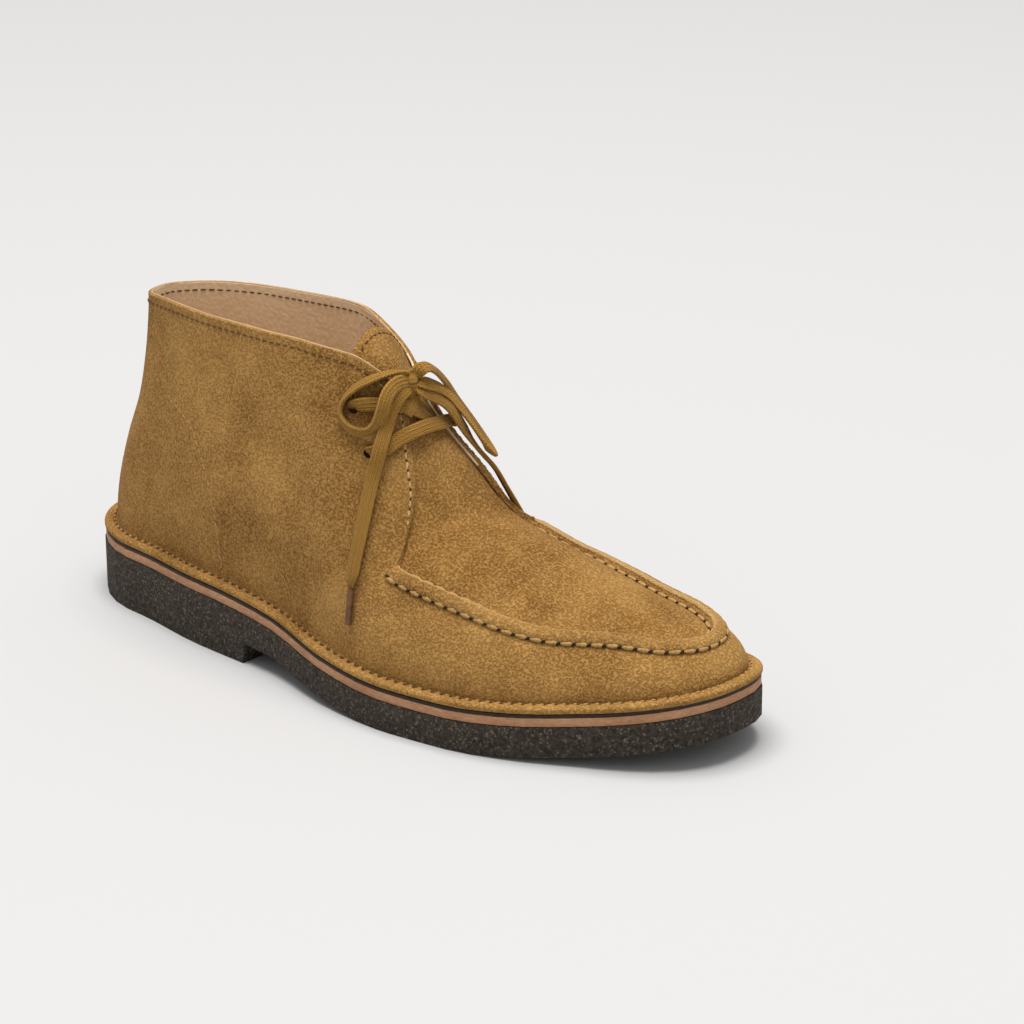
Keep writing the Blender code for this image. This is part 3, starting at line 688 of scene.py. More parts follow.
def sweep(name, path, facings, profile, closed=False):
    """A section carried along a path. profile(i) gives (across, out) pairs."""
    vertices = []
    maps = []
    size = len(profile(0))
    count = len(path)
    run = 0.0
    for i, point in enumerate(path):
        before = path[(i - 1) % count] if closed or i > 0 else path[i]
        after = path[(i + 1) % count] if closed or i < count - 1 else path[i]
        along = (after - before).normalized()
        out = (facings[i] - along * facings[i].dot(along)).normalized()
        across = along.cross(out)
        for j, (x, y) in enumerate(profile(i)):
            vertices.append(point + across * x + out * y)
            maps.append((run, j / size))
        if i < count - 1:
            run += (path[i + 1] - point).length
    faces = []
    rings = count if closed else count - 1
    for i in range(rings):
        k = (i + 1) % count
        for j in range(size):
            m = (j + 1) % size
            faces.append((i * size + j, k * size + j, k * size + m, i * size + m))
    if not closed:
        faces.append(tuple(range(size)))
        faces.append(tuple(reversed(range((count - 1) * size, count * size))))
    mesh = bpy.data.meshes.new(name)
    mesh.from_pydata([tuple(v) for v in vertices], [], faces)
    layer = mesh.uv_layers.new(name="along")
    for loop in mesh.loops:
        layer.data[loop.index].uv = maps[loop.vertex_index]
    work = bmesh.new()
    work.from_mesh(mesh)
    bmesh.ops.recalc_face_normals(work, faces=work.faces)
    if work.calc_volume(signed=True) < 0.0:
        bmesh.ops.reverse_faces(work, faces=work.faces)
    work.to_mesh(mesh)
    work.free()
    mesh.shade_smooth()
    return add_object(name, mesh)


def skin_tree(*names):
    """A search tree over the outer faces of some solids."""
    vertices = []
    faces = []
    for name in names:
        start = len(vertices)
        mesh = nodes[name].data
        vertices += [v.co.copy() for v in mesh.vertices]
        faces += [tuple(start + k for k in p.vertices) for p in mesh.polygons]
    return BVHTree.FromPolygons(vertices, faces)


skin = skin_tree("upper", "apron_tongue")
print("search tree over the upper and the tongue is ready")

# %% Routes of the lace
# Millimetres from the back of the heel, the middle line and the floor. Each
# free strand starts inside the knot, and each bar starts in its eyelet.
UPPER_BAR = [
    (150.3, -26.4, 106.9), (151.0, -28.2, 107.9), (152.5, -28.8, 108.6), (155.8, -27.4, 109.3),
    (158.3, -24.9, 109.2), (160.7, -21.7, 108.7), (163.2, -18.0, 108.2), (165.7, -14.9, 107.6),
    (166.4, -10.5, 105.0), (167.4, -6.3, 101.8), (168.0, -4.4, 99.9),
]
KNOT_STRAND = [
    (164.2, -9.5, 112.0), (164.7, -9.3, 109.2), (164.8, -10.6, 108.0), (166.0, -12.8, 107.1),
    (166.8, -14.3, 106.2), (166.8, -16.0, 104.4),
]
LOWER_BAR = [
    (157.0, -25.6, 91.4), (159.0, -28.4, 92.1), (160.7, -29.2, 92.6), (163.3, -27.4, 93.3),
    (164.9, -25.4, 94.1), (166.3, -22.7, 96.0), (167.9, -20.1, 97.6), (169.6, -16.6, 99.0),
    (170.3, -11.3, 99.6), (170.4, -6.4, 99.5), (169.6, -1.2, 98.6), (168.6, 3.5, 97.9),
    (167.2, 9.0, 96.6), (162.4, 15.8, 94.4), (158.4, 18.6, 91.6), (155.9, 20.2, 90.1),
]
LATERAL_LOOP = [
    (162.4, -10.4, 117.3), (161.7, -13.0, 119.4), (160.2, -15.8, 119.5), (159.4, -19.6, 119.4),
    (157.0, -23.1, 118.3), (153.9, -25.8, 116.4), (150.9, -28.8, 113.4), (148.7, -30.8, 110.0),
    (148.3, -32.0, 106.7), (149.4, -32.8, 104.1), (152.3, -32.9, 101.8), (155.2, -31.8, 100.1),
    (158.3, -29.9, 99.5), (160.8, -28.4, 100.7), (162.5, -27.1, 103.4), (164.1, -26.6, 107.1),
    (164.9, -26.0, 110.6), (164.9, -24.6, 113.7), (164.9, -22.0, 116.2), (164.6, -18.3, 117.0),
    (164.1, -14.8, 116.6), (163.7, -11.6, 115.9),
]
LATERAL_END = [
    (163.9, -11.4, 114.5), (165.0, -14.0, 113.5), (165.7, -17.2, 113.2), (165.4, -19.5, 111.5),
    (165.1, -21.3, 109.2), (164.4, -22.5, 106.3), (163.9, -23.4, 103.0), (164.5, -25.5, 99.9),
    (165.6, -28.3, 97.1), (165.7, -29.9, 93.8), (165.0, -30.8, 89.3), (164.6, -32.1, 85.0),
    (165.3, -35.4, 78.5), (166.1, -38.1, 73.3), (166.9, -41.2, 67.1), (167.6, -44.8, 59.1),
    (168.0, -47.2, 52.6), (168.4, -48.5, 48.3),
]
LATERAL_AGLET = [(168.5, -48.7, 47.9), (169.0, -51.1, 34.7)]
MEDIAL_LOOP = [
    (163.6, -9.8, 117.2), (168.0, -8.0, 121.4), (167.2, -4.0, 119.8), (165.4, 2.0, 115.8),
    (164.7, 7.0, 110.9), (164.0, 11.0, 106.3), (164.2, 15.0, 100.7), (165.9, 18.0, 95.6),
    (168.0, 20.5, 90.4), (171.0, 21.5, 86.1), (174.8, 20.0, 83.9), (178.4, 16.5, 84.1),
    (179.4, 13.0, 87.3), (176.6, 11.5, 92.4), (173.4, 10.0, 97.5), (170.3, 8.3, 102.2),
    (167.9, 5.6, 106.8), (166.8, 1.5, 110.5), (167.5, -4.0, 113.4), (168.0, -7.3, 115.0),
    (165.4, -8.4, 115.2),
]
MEDIAL_END = [
    (165.6, -9.2, 113.5), (167.8, -8.7, 111.9), (168.4, -4.0, 109.3), (169.1, 0.5, 106.1),
    (170.8, 3.5, 102.6), (172.2, 6.2, 97.5), (173.0, 9.0, 92.8), (173.9, 12.0, 87.8),
    (174.4, 15.8, 83.0), (176.1, 20.8, 76.6), (177.2, 24.9, 69.1), (177.6, 29.3, 62.0),
    (178.1, 33.1, 55.0), (178.1, 36.4, 47.8), (178.0, 38.3, 42.6),
]
MEDIAL_AGLET = [(178.0, 38.4, 42.2), (177.6, 40.6, 29.3)]

# The strand from the hidden upper eyelet: way, distance below the edge and
# lift in metres while it is on the facing, then millimetres as above.
INNER_PLACES = [
    (-0.4745, 0.0176, -0.0026), (-0.4755, 0.0170, -0.0004), (-0.4800, 0.0150, 0.0012),
    (-0.4880, 0.0118, 0.0014), (-0.4960, 0.0080, 0.0016),
]
INNER_STRAND = [(160.8, 4.5, 108.3), (163.0, -1.5, 110.4), (163.0, -8.0, 112.2)]
print("routes:", len(UPPER_BAR), len(LOWER_BAR), len(LATERAL_LOOP), len(MEDIAL_LOOP), "points")

# %% Lace strands
BRAID_WIDTH = 0.0054
BRAID_THICKNESS = 0.0018
LACE_STEP = 0.0009
SECTION_STEPS = 24
START_TAPER = 0.004
END_TAPER = 0.006


def braid_section(width, thickness):
    """A flat section with rounded edges and four ribs on each face."""
    top = []
    for k in range(SECTION_STEPS + 1):
        share = k / SECTION_STEPS
        swell = (1.0 - abs(2.0 * share - 1.0) ** 4) ** 0.5
        rib = 0.70 + 0.30 * abs(math.sin(4.0 * math.pi * share))
        top.append(((share - 0.5) * width, thickness / 2.0 * swell * rib))
    return top + [(x, -y) for x, y in reversed(top[1:-1])]


def ease(path, rounds=10):
    """Take the tightest turns out of a path, with its ends held."""
    for _ in range(rounds):
        middle = [(a + b * 2.0 + c) / 4.0 for a, b, c in zip(path, path[1:], path[2:])]
        path = [path[0]] + middle + [path[-1]]
    return path


def flat_on_skin(path, twists, reach=8):
    """Which way the braid's flat side looks: off the leather, then twisted."""
    raw = [(point - skin.find_nearest(point)[0]).normalized() for point in path]
    last = len(path) - 1
    turned = []
    for i in range(last + 1):
        out = sum(raw[max(0, i - reach):i + reach + 1], Vector()).normalized()
        along = (path[min(i + 1, last)] - path[max(i - 1, 0)]).normalized()
        angle = math.radians(blend(twists, 1, i / last))
        turned.append(Quaternion(along, angle) @ out)
    return turned


def lace_strand(name, points, stands_for, ends, twists):
    """One strand of the braid along a route, narrowed at its two ends."""
    path = ease(smooth_line(points, LACE_STEP))
    last = len(path) - 1

    def section(i):
        near_start = smooth_step(0.0, START_TAPER, i * LACE_STEP)
        near_end = smooth_step(0.0, END_TAPER, (last - i) * LACE_STEP)
        width = BRAID_WIDTH * (ends[0] + (1.0 - ends[0]) * near_start)
        width *= ends[1] + (1.0 - ends[1]) * near_end
        return braid_section(width, BRAID_THICKNESS)

    piece = sweep(name, path, flat_on_skin(path, twists), section)
    dress(piece, lace_braid, "lace", *stands_for)
    return piece, path


# Each strand: its name, its route, the solids it stands for, the share of
# the width left at its ends, and how far it is twisted along its way.
FLAT = [(0.0, 0.0), (1.0, 0.0)]
inner_places = [below_edge(*place) for place in INNER_PLACES]
strands = {}
for name, points, stands_for, ends, twists in (
    ("lace_bar_upper", from_millimetres(UPPER_BAR), ["lace_upper_bar"], (0.8, 0.6), FLAT),
    ("lace_strand_inside", inner_places + from_millimetres(INNER_STRAND), [], (0.8, 0.8), FLAT),
    ("lace_bar_strand", from_millimetres(KNOT_STRAND), ["lace_upper_bar"], (1.0, 0.7), FLAT),
    ("lace_bar_lower", from_millimetres(LOWER_BAR), ["lace_lower_bar"], (0.8, 0.8), FLAT),
    ("bow_loop_outside", from_millimetres(LATERAL_LOOP), ["lace_loop_lateral"], (1.0, 1.0),
     [(0.0, 70.0), (0.25, 62.0), (0.6, 55.0), (0.75, 10.0), (1.0, 0.0)]),
    ("bow_loop_inside", from_millimetres(MEDIAL_LOOP), ["lace_loop_medial"], (1.0, 1.0),
     [(0.0, -40.0), (0.5, 20.0), (1.0, 0.0)]),
    ("lace_end_outside", from_millimetres(LATERAL_END), ["lace_end_lateral"], (1.0, 0.42), FLAT),
    ("lace_end_inside", from_millimetres(MEDIAL_END), ["lace_end_medial"], (1.0, 0.42), FLAT),
):
    strands[name] = lace_strand(name, points, stands_for, ends, twists)
    print(name, round(length_of(strands[name][1]) * 1000), "mm")

# %% [markdown]
# The bow's knot is the lace wrapped once round both loops. The wrap is a
# short closed band of the same braid, pulled tight and a little domed, and
# the loops run into it from both sides.

# %% Knot
KNOT_BAND = 0.0044
KNOT_RISE = 0.0030
KNOT_DEPTH = 0.0026
KNOT_DOME = 0.0009
KNOT_STEPS = 40
knot_centre = from_millimetres([(163.3, -9.5, 115.0)])[0]
knot_up = Vector((-0.20, 0.10, 0.97)).normalized()
knot_out = Vector((0.7484, 0.6633, 0.0)).cross(knot_up).normalized()
knot_path = []
knot_facings = []
for i in range(KNOT_STEPS):
    angle = 2.0 * math.pi * i / KNOT_STEPS
    rise = knot_up * math.sin(angle)
    depth = knot_out * math.cos(angle)
    knot_path.append(knot_centre + rise * KNOT_RISE + depth * KNOT_DEPTH)
    knot_facings.append(rise + depth)


def knot_section(i):
    flat = braid_section(KNOT_BAND, BRAID_THICKNESS)
    return [(x, y + KNOT_DOME * (1.0 - (2.0 * x / KNOT_BAND) ** 2)) for x, y in flat]


knot = sweep("bow_knot", knot_path, knot_facings, knot_section, closed=True)
dress(knot, lace_braid, "lace", "lace_knot")
print("knot at", [round(v * 1000) for v in knot_centre], "mm")

# %% [markdown]
# Each end of the lace is pressed into a hard brown tip, the aglet. Here it is
# a cylinder, bevelled at its rims and laid along the end of the lace.


# %% Aglets
def make_aglet(name, tips, node):
    start, end = from_millimetres(tips)
    bpy.ops.object.select_all(action="DESELECT")
    bpy.ops.mesh.primitive_cylinder_add(vertices=24, radius=0.00125, depth=(end - start).length)
    piece = bpy.context.active_object
    piece.name = name
    edit_all()
    bpy.ops.mesh.bevel(offset=0.0003, segments=2)
    bpy.ops.object.mode_set(mode="OBJECT")
    set_down(piece, end - start, (start + end) / 2.0)
    bpy.ops.object.shade_smooth_by_angle(angle=math.radians(40))
    return dress(piece, brown_tip, "aglet", node)


aglet_outside = make_aglet("aglet_outside", LATERAL_AGLET, "aglet_lateral")
aglet_inside = make_aglet("aglet_inside", MEDIAL_AGLET, "aglet_medial")
for name, far_end, others in (
    ("bow_loop_outside", "knot", [knot]), ("bow_loop_inside", "knot", []),
    ("lace_end_outside", "fitting", [aglet_outside]), ("lace_end_inside", "fitting", [aglet_inside]),
):
    piece, path = strands[name]

# %% [markdown]
# The suede of a worn boot is never quite flat: it takes soft troughs and
# ridges where the foot bends, over the ankle and behind the ball. Noise would put
# them anywhere, so each is drawn as a route over the wall, with a
# width and a depth. The same shift is used for the leather and for whatever
# is sewn on it, so threads stay on the surface.

# %% Soft folds of the leather
def apron_point(row, across, lift=0.0):
    """A place on the apron or tongue: the table's row, then 0 to 1 across."""
    here = min(int(row), len(LATERAL) - 2)
    share = row - here
    left = LATERAL[here][0] + (LATERAL[here + 1][0] - LATERAL[here][0]) * share
    right = MEDIAL[here][0] + (MEDIAL[here + 1][0] - MEDIAL[here][0]) * share
    depth = WALL + CLEARANCE - lift
    rims = []
    runs = []
    for way in (left, 2.0 - right):
        rims.append(wall_point(way, 1.0) - wall_out(way, 1.0) * depth)
        points = wall_handles(way)
        runs.append((points[3] - points[2]).normalized())
    width = (rims[1] - rims[0]).length
    handles = [rims[k] + runs[k] * width * EDGE_PULL for k in (0, 1)]
    s = 1.0 - across
    middle = handles[0] * 3 * s * s * across + handles[1] * 3 * s * across * across
    return rims[0] * s ** 3 + middle + rims[1] * across ** 3 + to_frame


WALL_FOLDS = [
    ([(0.375, 0.70), (0.415, 0.52), (0.465, 0.34)], 0.0090, -0.0011),
    ([(0.345, 0.55), (0.395, 0.36), (0.450, 0.20)], 0.0080, 0.0006),
    ([(0.075, 0.82), (0.105, 0.60), (0.110, 0.40)], 0.0090, -0.0007),
    ([(0.200, 0.80), (0.215, 0.55), (0.190, 0.30)], 0.0100, 0.0006),
    ([(0.590, 0.74), (0.610, 0.52), (0.640, 0.28)], 0.0060, -0.0008),
    ([(0.625, 0.72), (0.648, 0.50), (0.675, 0.26)], 0.0060, 0.0006),
    ([(0.665, 0.70), (0.688, 0.50), (0.705, 0.30)], 0.0055, -0.0006),
    ([(1.620, 0.68), (1.580, 0.50), (1.530, 0.34)], 0.0090, -0.0011),
    ([(1.400, 0.74), (1.380, 0.52), (1.350, 0.28)], 0.0060, -0.0008),
    ([(1.365, 0.72), (1.345, 0.50), (1.320, 0.26)], 0.0060, 0.0006),
]
APRON_FOLDS = [
    ([(18.2, 0.22), (18.6, 0.42), (18.8, 0.62)], 0.0060, -0.0006),
    ([(19.4, 0.30), (19.8, 0.52), (19.9, 0.74)], 0.0055, -0.0005),
    ([(13.5, 0.30), (14.2, 0.50), (14.0, 0.72)], 0.0080, -0.0006),
]
FOLD_STEPS = 16
FOLD_REACH = 0.09
fold_lines = []
for routes, place in ((WALL_FOLDS, on_wall), (APRON_FOLDS, apron_point)):
    for route, width, depth in routes:
        along = []
        outs = []
        for a, b in zip(route, route[1:]):
            for k in range(FOLD_STEPS):
                spot = [p + (q - p) * k / FOLD_STEPS for p, q in zip(a, b)]
                along.append(place(*spot))
                outs.append((place(*spot, 0.001) - along[-1]).normalized())
        tapers = [math.sin(math.pi * (k + 0.5) / len(along)) ** 0.7 for k in range(len(along))]
        fold_lines.append((np.array(along), np.array(outs), np.array(tapers), width, depth))


def fold_shift(points):
    """How far the folds move each point, as one array."""
    shift = np.zeros_like(points)
    for along, outs, tapers, width, depth in fold_lines:
        near = np.linalg.norm(points - along.mean(axis=0), axis=1) < FOLD_REACH
        if not near.any():
            continue
        gaps = np.linalg.norm(points[near][:, None, :] - along[None, :, :], axis=2)
        closest = gaps.argmin(axis=1)
        strength = depth * tapers[closest] * np.exp(-(gaps.min(axis=1) / width) ** 2)
        shift[near] += outs[closest] * strength[:, None]
    return shift


def folded(points):
    """A list of places, moved with the folds."""
    table = np.array([tuple(point) for point in points])
    return [Vector(point) for point in table + fold_shift(table)]


print("folds:", len(fold_lines))

# %% [markdown]
# The upper is made from a copy of its solid. The copy's loose triangles are
# joined back into a grid of quads, its hard edges get a crease, and two
# levels of subdivision turn the facets into leather. The solid itself stays
# as it was, hidden, for the physics.

# %% Upper
def clean_copy(node, name):
    """A copy of a solid with its corners joined and its triangles paired."""
    bpy.ops.object.select_all(action="DESELECT")
    piece = add_object(name, nodes[node].data.copy())
    bpy.context.view_layer.objects.active = piece
    piece.select_set(True)
    bpy.ops.mesh.customdata_custom_splitnormals_clear()
    edit_all()
    bpy.ops.mesh.remove_doubles(threshold=0.00002)
    bpy.ops.mesh.tris_convert_to_quads(face_threshold=math.radians(40), shape_threshold=math.radians(50))
    bpy.ops.mesh.normals_make_consistent(inside=False)
    bpy.ops.object.mode_set(mode="OBJECT")
    return piece


def soft_copy(node, name, crease_at):
    """A subdivided copy of a solid. crease_at(edge) says how hard an edge is."""
    piece = clean_copy(node, name)
    work = bmesh.new()
    work.from_mesh(piece.data)
    layer = work.edges.layers.float.new("crease_edge")
    for edge in work.edges:
        edge.smooth = True
        if len(edge.link_faces) == 2 and edge.calc_face_angle() > math.radians(38):
            edge[layer] = crease_at(edge)
    work.to_mesh(piece.data)
    work.free()
    smooth = piece.modifiers.new("smooth", "SUBSURF")
    smooth.levels = 2
    smooth.render_levels = 2
    bpy.ops.object.modifier_apply(modifier="smooth")
    table = np.empty(len(piece.data.vertices) * 3)
    piece.data.vertices.foreach_get("co", table)
    table = table.reshape(-1, 3)
    table += fold_shift(table)
    piece.data.vertices.foreach_set("co", table.ravel())
    piece.data.update()
    bpy.ops.object.shade_smooth()
    return piece


def crisp_copy(node, name, rounding):
    """A copy of a solid with a narrow round along its sharp edges."""
    piece = clean_copy(node, name)
    round_off = piece.modifiers.new("round", "BEVEL")
    round_off.width = rounding
    round_off.segments = 2
    round_off.limit_method = "ANGLE"
    round_off.angle_limit = math.radians(38)
    bpy.ops.object.modifier_apply(modifier="round")
    bpy.ops.object.shade_smooth_by_angle(angle=math.radians(35))
    return piece


def line_inside(piece, lining, lean=0.0):
    """Give the faces that look into the boot the lining's material."""
    piece.data.materials.append(lining)
    count = 0
    for face in piece.data.polygons:
        spot = face.center - to_frame
        # The core is a line through the middle of the room for the foot.
        core = Vector((min(0.25, max(0.045, spot.x)), 0.0, 0.045))
        core.y = middle_line(core.x)
        if spot.z > 0.060:
            core.z = spot.z
        core -= Vector((lean, 0.0, lean))
        looks_in = face.normal.dot((core - spot).normalized()) > (0.4 if lean else 0.5)
        on_apron = face.normal.z > -0.1 and (spot.x > 0.178 or (spot.x > 0.140 and spot.z > 0.050))
        if looks_in and not on_apron and spot.z > flange_top(spot.x) + 0.004:
            face.material_index = 1
            count += 1
    return count


def upper_crease(edge):
    middle = (edge.verts[0].co + edge.verts[1].co) / 2.0 - to_frame
    if middle.z < flange_top(middle.x) + 0.002:
        return 0.5
    return 0.75


upper = soft_copy("upper", "suede_upper", upper_crease)
dress(upper, tan_suede, "upper", "upper")
print("upper:", len(upper.data.polygons), "faces,", line_inside(upper, lining_leather), "of lining")

# %% Apron and tongue
apron = soft_copy("apron_tongue", "suede_apron", lambda edge: 0.7)
dress(apron, tan_suede, "apron_tongue", "apron_tongue")
print("apron:", len(apron.data.polygons), "faces,", line_inside(apron, lining_leather, 0.03), "of lining")

# %% Back strip
# The back strip's darker suede is painted shade.
strip = soft_copy("backstay", "suede_back_strip", lambda edge: 0.6)
dress(strip, shaded_strip_suede, "backstay", "backstay")
print("back strip:", len(strip.data.polygons), "faces")

# %% [markdown]
# The moccasin seam joins the wall to the apron with their edges pinched up
# into a roll. The thread pulls the roll in at each hole, so it swells
# between the holes. A section is swept along the roll, and the holes dent
# the section on the side of the wall.

# %% Roll of the moccasin seam
SEAM_PITCH = 0.0055
SEAM_STEP = 0.00055
SEAM_HALF = 0.0029
SEAM_HEIGHT = 0.0021
SEAM_TAPER = 0.006


def ways_between(first, last, count):
    return [first + (last - first) * i / count for i in range(count + 1)]


def facing_along(path, points, outs):
    """The facing of the nearest route point beside each point of a path."""
    facings = []
    k = 0
    for point in path:
        while k < len(points) - 1 and (points[k + 1] - point).length < (points[k] - point).length:
            k += 1
        facings.append(outs[k])
    return facings


seam_suede = suede_material("seam_suede", (0.560, 0.325, 0.105), (0.190, 0.080, 0.015))
seam_tree = seam_suede.node_tree
seam_base = seam_tree.nodes["Principled BSDF"].inputs["Base Color"]
worn_rim = remap(seam_tree, map_coordinates(seam_tree)[1], 0.13, 0.03, 0.0, 0.75)
plain_base = seam_base.links[0].from_socket
feed(seam_tree, seam_base, mix_colors(seam_tree, worn_rim, plain_base, (0.640, 0.420, 0.180)))

seam_ways = ways_between(0.5735, 1.4060, 220)
seam_raw = [below_edge(way, RIDGE_WIDTH * 0.5, 0.0002) for way in seam_ways]
seam_outs = [wall_out(way, wall_share(way, RIDGE_WIDTH * 0.5)) for way in seam_ways]
seam_path = smooth_line(seam_raw, SEAM_STEP)
seam_facings = facing_along(seam_path, seam_raw, seam_outs)
seam_path = folded(seam_path)


def pull_at(along, pitch, spread):
    """How strongly the thread pulls here: one at a hole, zero between."""
    beat = abs((along / pitch) % 1.0 - 0.5) * pitch
    return math.exp(-(beat / spread) ** 2)


def seam_section(i):
    along = i * SEAM_STEP
    hole = pull_at(along, SEAM_PITCH, 0.0009)
    left = (len(seam_path) - 1 - i) * SEAM_STEP
    ends = smooth_step(0.0, SEAM_TAPER, min(along, left))
    tall = (SEAM_HEIGHT - 0.0001 * hole) * (0.35 + 0.65 * ends)
    top = []
    for k in range(15):
        share = k / 14.0 * 2.0 - 1.0
        y = tall * (1.0 - abs(share) ** 2.6) ** (1.0 / 2.2)
        if share > 0.2:
            y -= 0.00055 * hole * smooth_step(0.2, 0.6, share) * ends
        top.append((SEAM_HALF * share, y))
    return top + [(SEAM_HALF * 0.6, -0.0007), (-SEAM_HALF * 0.6, -0.0007)]


seam_roll = sweep("moccasin_roll", seam_path, seam_facings, seam_section)
dress(seam_roll, seam_suede, "upper")
print("seam:", round(length_of(seam_path) * 1000), "mm long")

# %% [markdown]
# One stitch is a short fat grain of thread with both ends sunk in the
# leather. It is modelled once, as a small ball drawn out, and then copied
# along a route as often as the pitch fits. All stitches of a row are one
# mesh. The holes between them are dark flat grains, set a little lower:
# painted shade for the dark inside each needle hole. The moccasin seam
# shows its thread on both flanks, half a pitch apart.

# %% Stitches of the moccasin seam
bpy.ops.object.select_all(action="DESELECT")
bpy.ops.mesh.primitive_uv_sphere_add(segments=8, ring_count=6, radius=1.0)
grain = bpy.context.active_object
edit_all()
bpy.ops.transform.rotate(value=math.radians(90), orient_axis="Y", center_override=(0.0, 0.0, 0.0))
bpy.ops.object.mode_set(mode="OBJECT")
# The ball's corners come in no fixed order, so they are sorted by place.
corners = [tuple(round(value, 6) for value in v.co) for v in grain.data.vertices]
order = sorted(range(len(corners)), key=corners.__getitem__)
grain_points = np.array([corners[k] for k in order])
grain_faces = []
for face in grain.data.polygons:
    turn = [order.index(k) for k in face.vertices]
    first = turn.index(min(turn))
    grain_faces.append(tuple(turn[first:] + turn[:first]))
grain_faces.sort()
grain_points = np.sign(grain_points) * np.abs(grain_points) ** np.array((0.8, 1.0, 1.0))
bpy.data.objects.remove(grain)


def sew(name, path, facings, pitch, size, material, phase=0.5, slant=0.0):
    """A row of stitches: size is half the length, width and height."""
    points = []
    faces = []
    run = 0.0
    target = pitch * phase
    for a, b, out in zip(path, path[1:], facings):
        step = (b - a).length
        while run + step >= target:
            along = (b - a).normalized()
            across = along.cross(out).normalized()
            up = across.cross(along)
            ahead = (along + across * slant).normalized()
            turn = np.array((tuple(ahead), tuple(up.cross(ahead)), tuple(up)))
            spot = np.array(tuple(a.lerp(b, (target - run) / step)))
            start = len(points) * len(grain_points)
            points.append((grain_points * np.array(size)) @ turn + spot)
            faces += [tuple(start + k for k in face) for face in grain_faces]
            target += pitch
        run += step
    mesh = bpy.data.meshes.new(name)
    mesh.from_pydata(np.concatenate(points).tolist(), [], faces)
    mesh.shade_smooth()
    dress(add_object(name, mesh), material, "upper")
    print(name, len(points))


def laid_on(tree, points, lift=Vector()):
    """The nearest places on a skin, moved with the folds, and their facings."""
    finds = [tree.find_nearest(point) for point in points]
    return folded([find[0] + lift for find in finds]), [find[1] for find in finds]


apron_skin = skin_tree("apron_tongue")
flank = []
beside = []
for p, f, a, b in zip(seam_path[1:-1], seam_facings[1:-1], seam_path, seam_path[2:]):
    side = f.cross((b - a).normalized())
    flank.append(p + side * -0.0027 + f * 0.0003)
    beside.append(p + side * 0.0030)
flank_facings = seam_facings[1:-1]
inner, _ = laid_on(apron_skin, beside[12:-12], UP * 0.0004)
inner_facings = [UP] * len(inner)
for name, path, facings, size, material, phase, slant in (
    ("moccasin_stitches", flank, flank_facings, (0.0025, 0.00085, 0.0009), tan_thread, 0.9, 0.0),
    ("moccasin_holes", flank, flank_facings, (0.0013, 0.0006, 0.0007), needle_hole_shade, 0.4, -0.6),
    ("moccasin_stitches_inner", inner, inner_facings, (0.0024, 0.0008, 0.0008), tan_thread, 0.4, 0.0),
    ("moccasin_holes_inner", inner, inner_facings, (0.0010, 0.0006, 0.0006), needle_hole_shade, 0.9, 0.0),
):
    sew(name, path, facings, SEAM_PITCH, size, material, phase, slant)

# %% [markdown]
# The collar is closed by one row of thread, 3 mm under its edge, seen
# outside and again on the lining. The thread is tan, sunk in a groove, and
# its dark brown is painted shade of that groove. The two facings carry a
# paler row beside their cut edge, and the tongue has a row along its top.

# %% Rows of the collar, the facings and the tongue
# Pitch, size and thread of a fine row; the thread is dark with painted shade.
FINE_ROW = (0.0033, (0.0012, 0.00035, 0.0003), sunk_thread_painted_shade)


def wall_row(ways, distance, lift, inside=False):
    """Path and facings of a row that runs over the wall, folds and all."""
    spots = []
    outs = []
    for way in ways:
        t = wall_share(way, distance)
        out = wall_out(way, t)
        spots.append(on_wall(way, t, -WALL - lift if inside else lift))
        outs.append(-out if inside else out)
    return folded(spots), outs


collar_ways = ways_between(0.480, -0.478, 400)
sew("collar_stitches", *wall_row(collar_ways, 0.0032, 0.0), *FINE_ROW)
sew("lining_stitches", *wall_row(collar_ways, 0.0032, 0.00025, inside=True), *FINE_ROW)
for side, first, last in (("outside", 0.487, 0.572), ("inside", -0.487, -0.592)):
    path, facings = wall_row(ways_between(first, last, 90), 0.0036, 0.0)
    sew("facing_stitches_" + side, path, facings, 0.0035, (0.0012, 0.00042, 0.00035), cream_thread)
    sew("facing_holes_" + side, path, facings, 0.0035, (0.0004, 0.0004, 0.0002), needle_hole_shade, 1.0)
tongue_top = [apron_point(9.30, 0.06 + 0.88 * i / 60, 0.001) for i in range(61)]
sew("tongue_stitches", *laid_on(apron_skin, tongue_top), *FINE_ROW)

# %% [markdown]
# A stiffener sits between suede and lining round the heel. Its front edge is
# held by a faint row of tan thread on each side. Both rows are laid on the
# nearest suede.

# %% Rows of the stiffener
counter_outside = from_millimetres([
    (57.0, -29.1, 89.6), (62.4, -30.7, 87.6), (72.6, -33.7, 82.4), (80.6, -36.5, 72.0),
    (86.9, -38.7, 61.0), (90.6, -39.7, 46.2), (91.5, -38.3, 30.0),
])
counter_inside = [on_wall(way, t) for way, t in (
    (-0.300, 0.93), (-0.370, 0.80), (-0.400, 0.55), (-0.385, 0.28), (-0.36, 0.06),
)]
for name, route in (("counter_stitches", counter_outside), ("counter_stitches_inside", counter_inside)):
    path, facings = laid_on(skin, smooth_line(route, 0.0012))
    sew(name, path, facings, 0.0032, (0.0011, 0.00030, 0.00016), tan_thread)

# %% [markdown]
# Through an eyelet one looks into the dark between the leathers. A shallow
# dark dish inside each bore gives that shade.

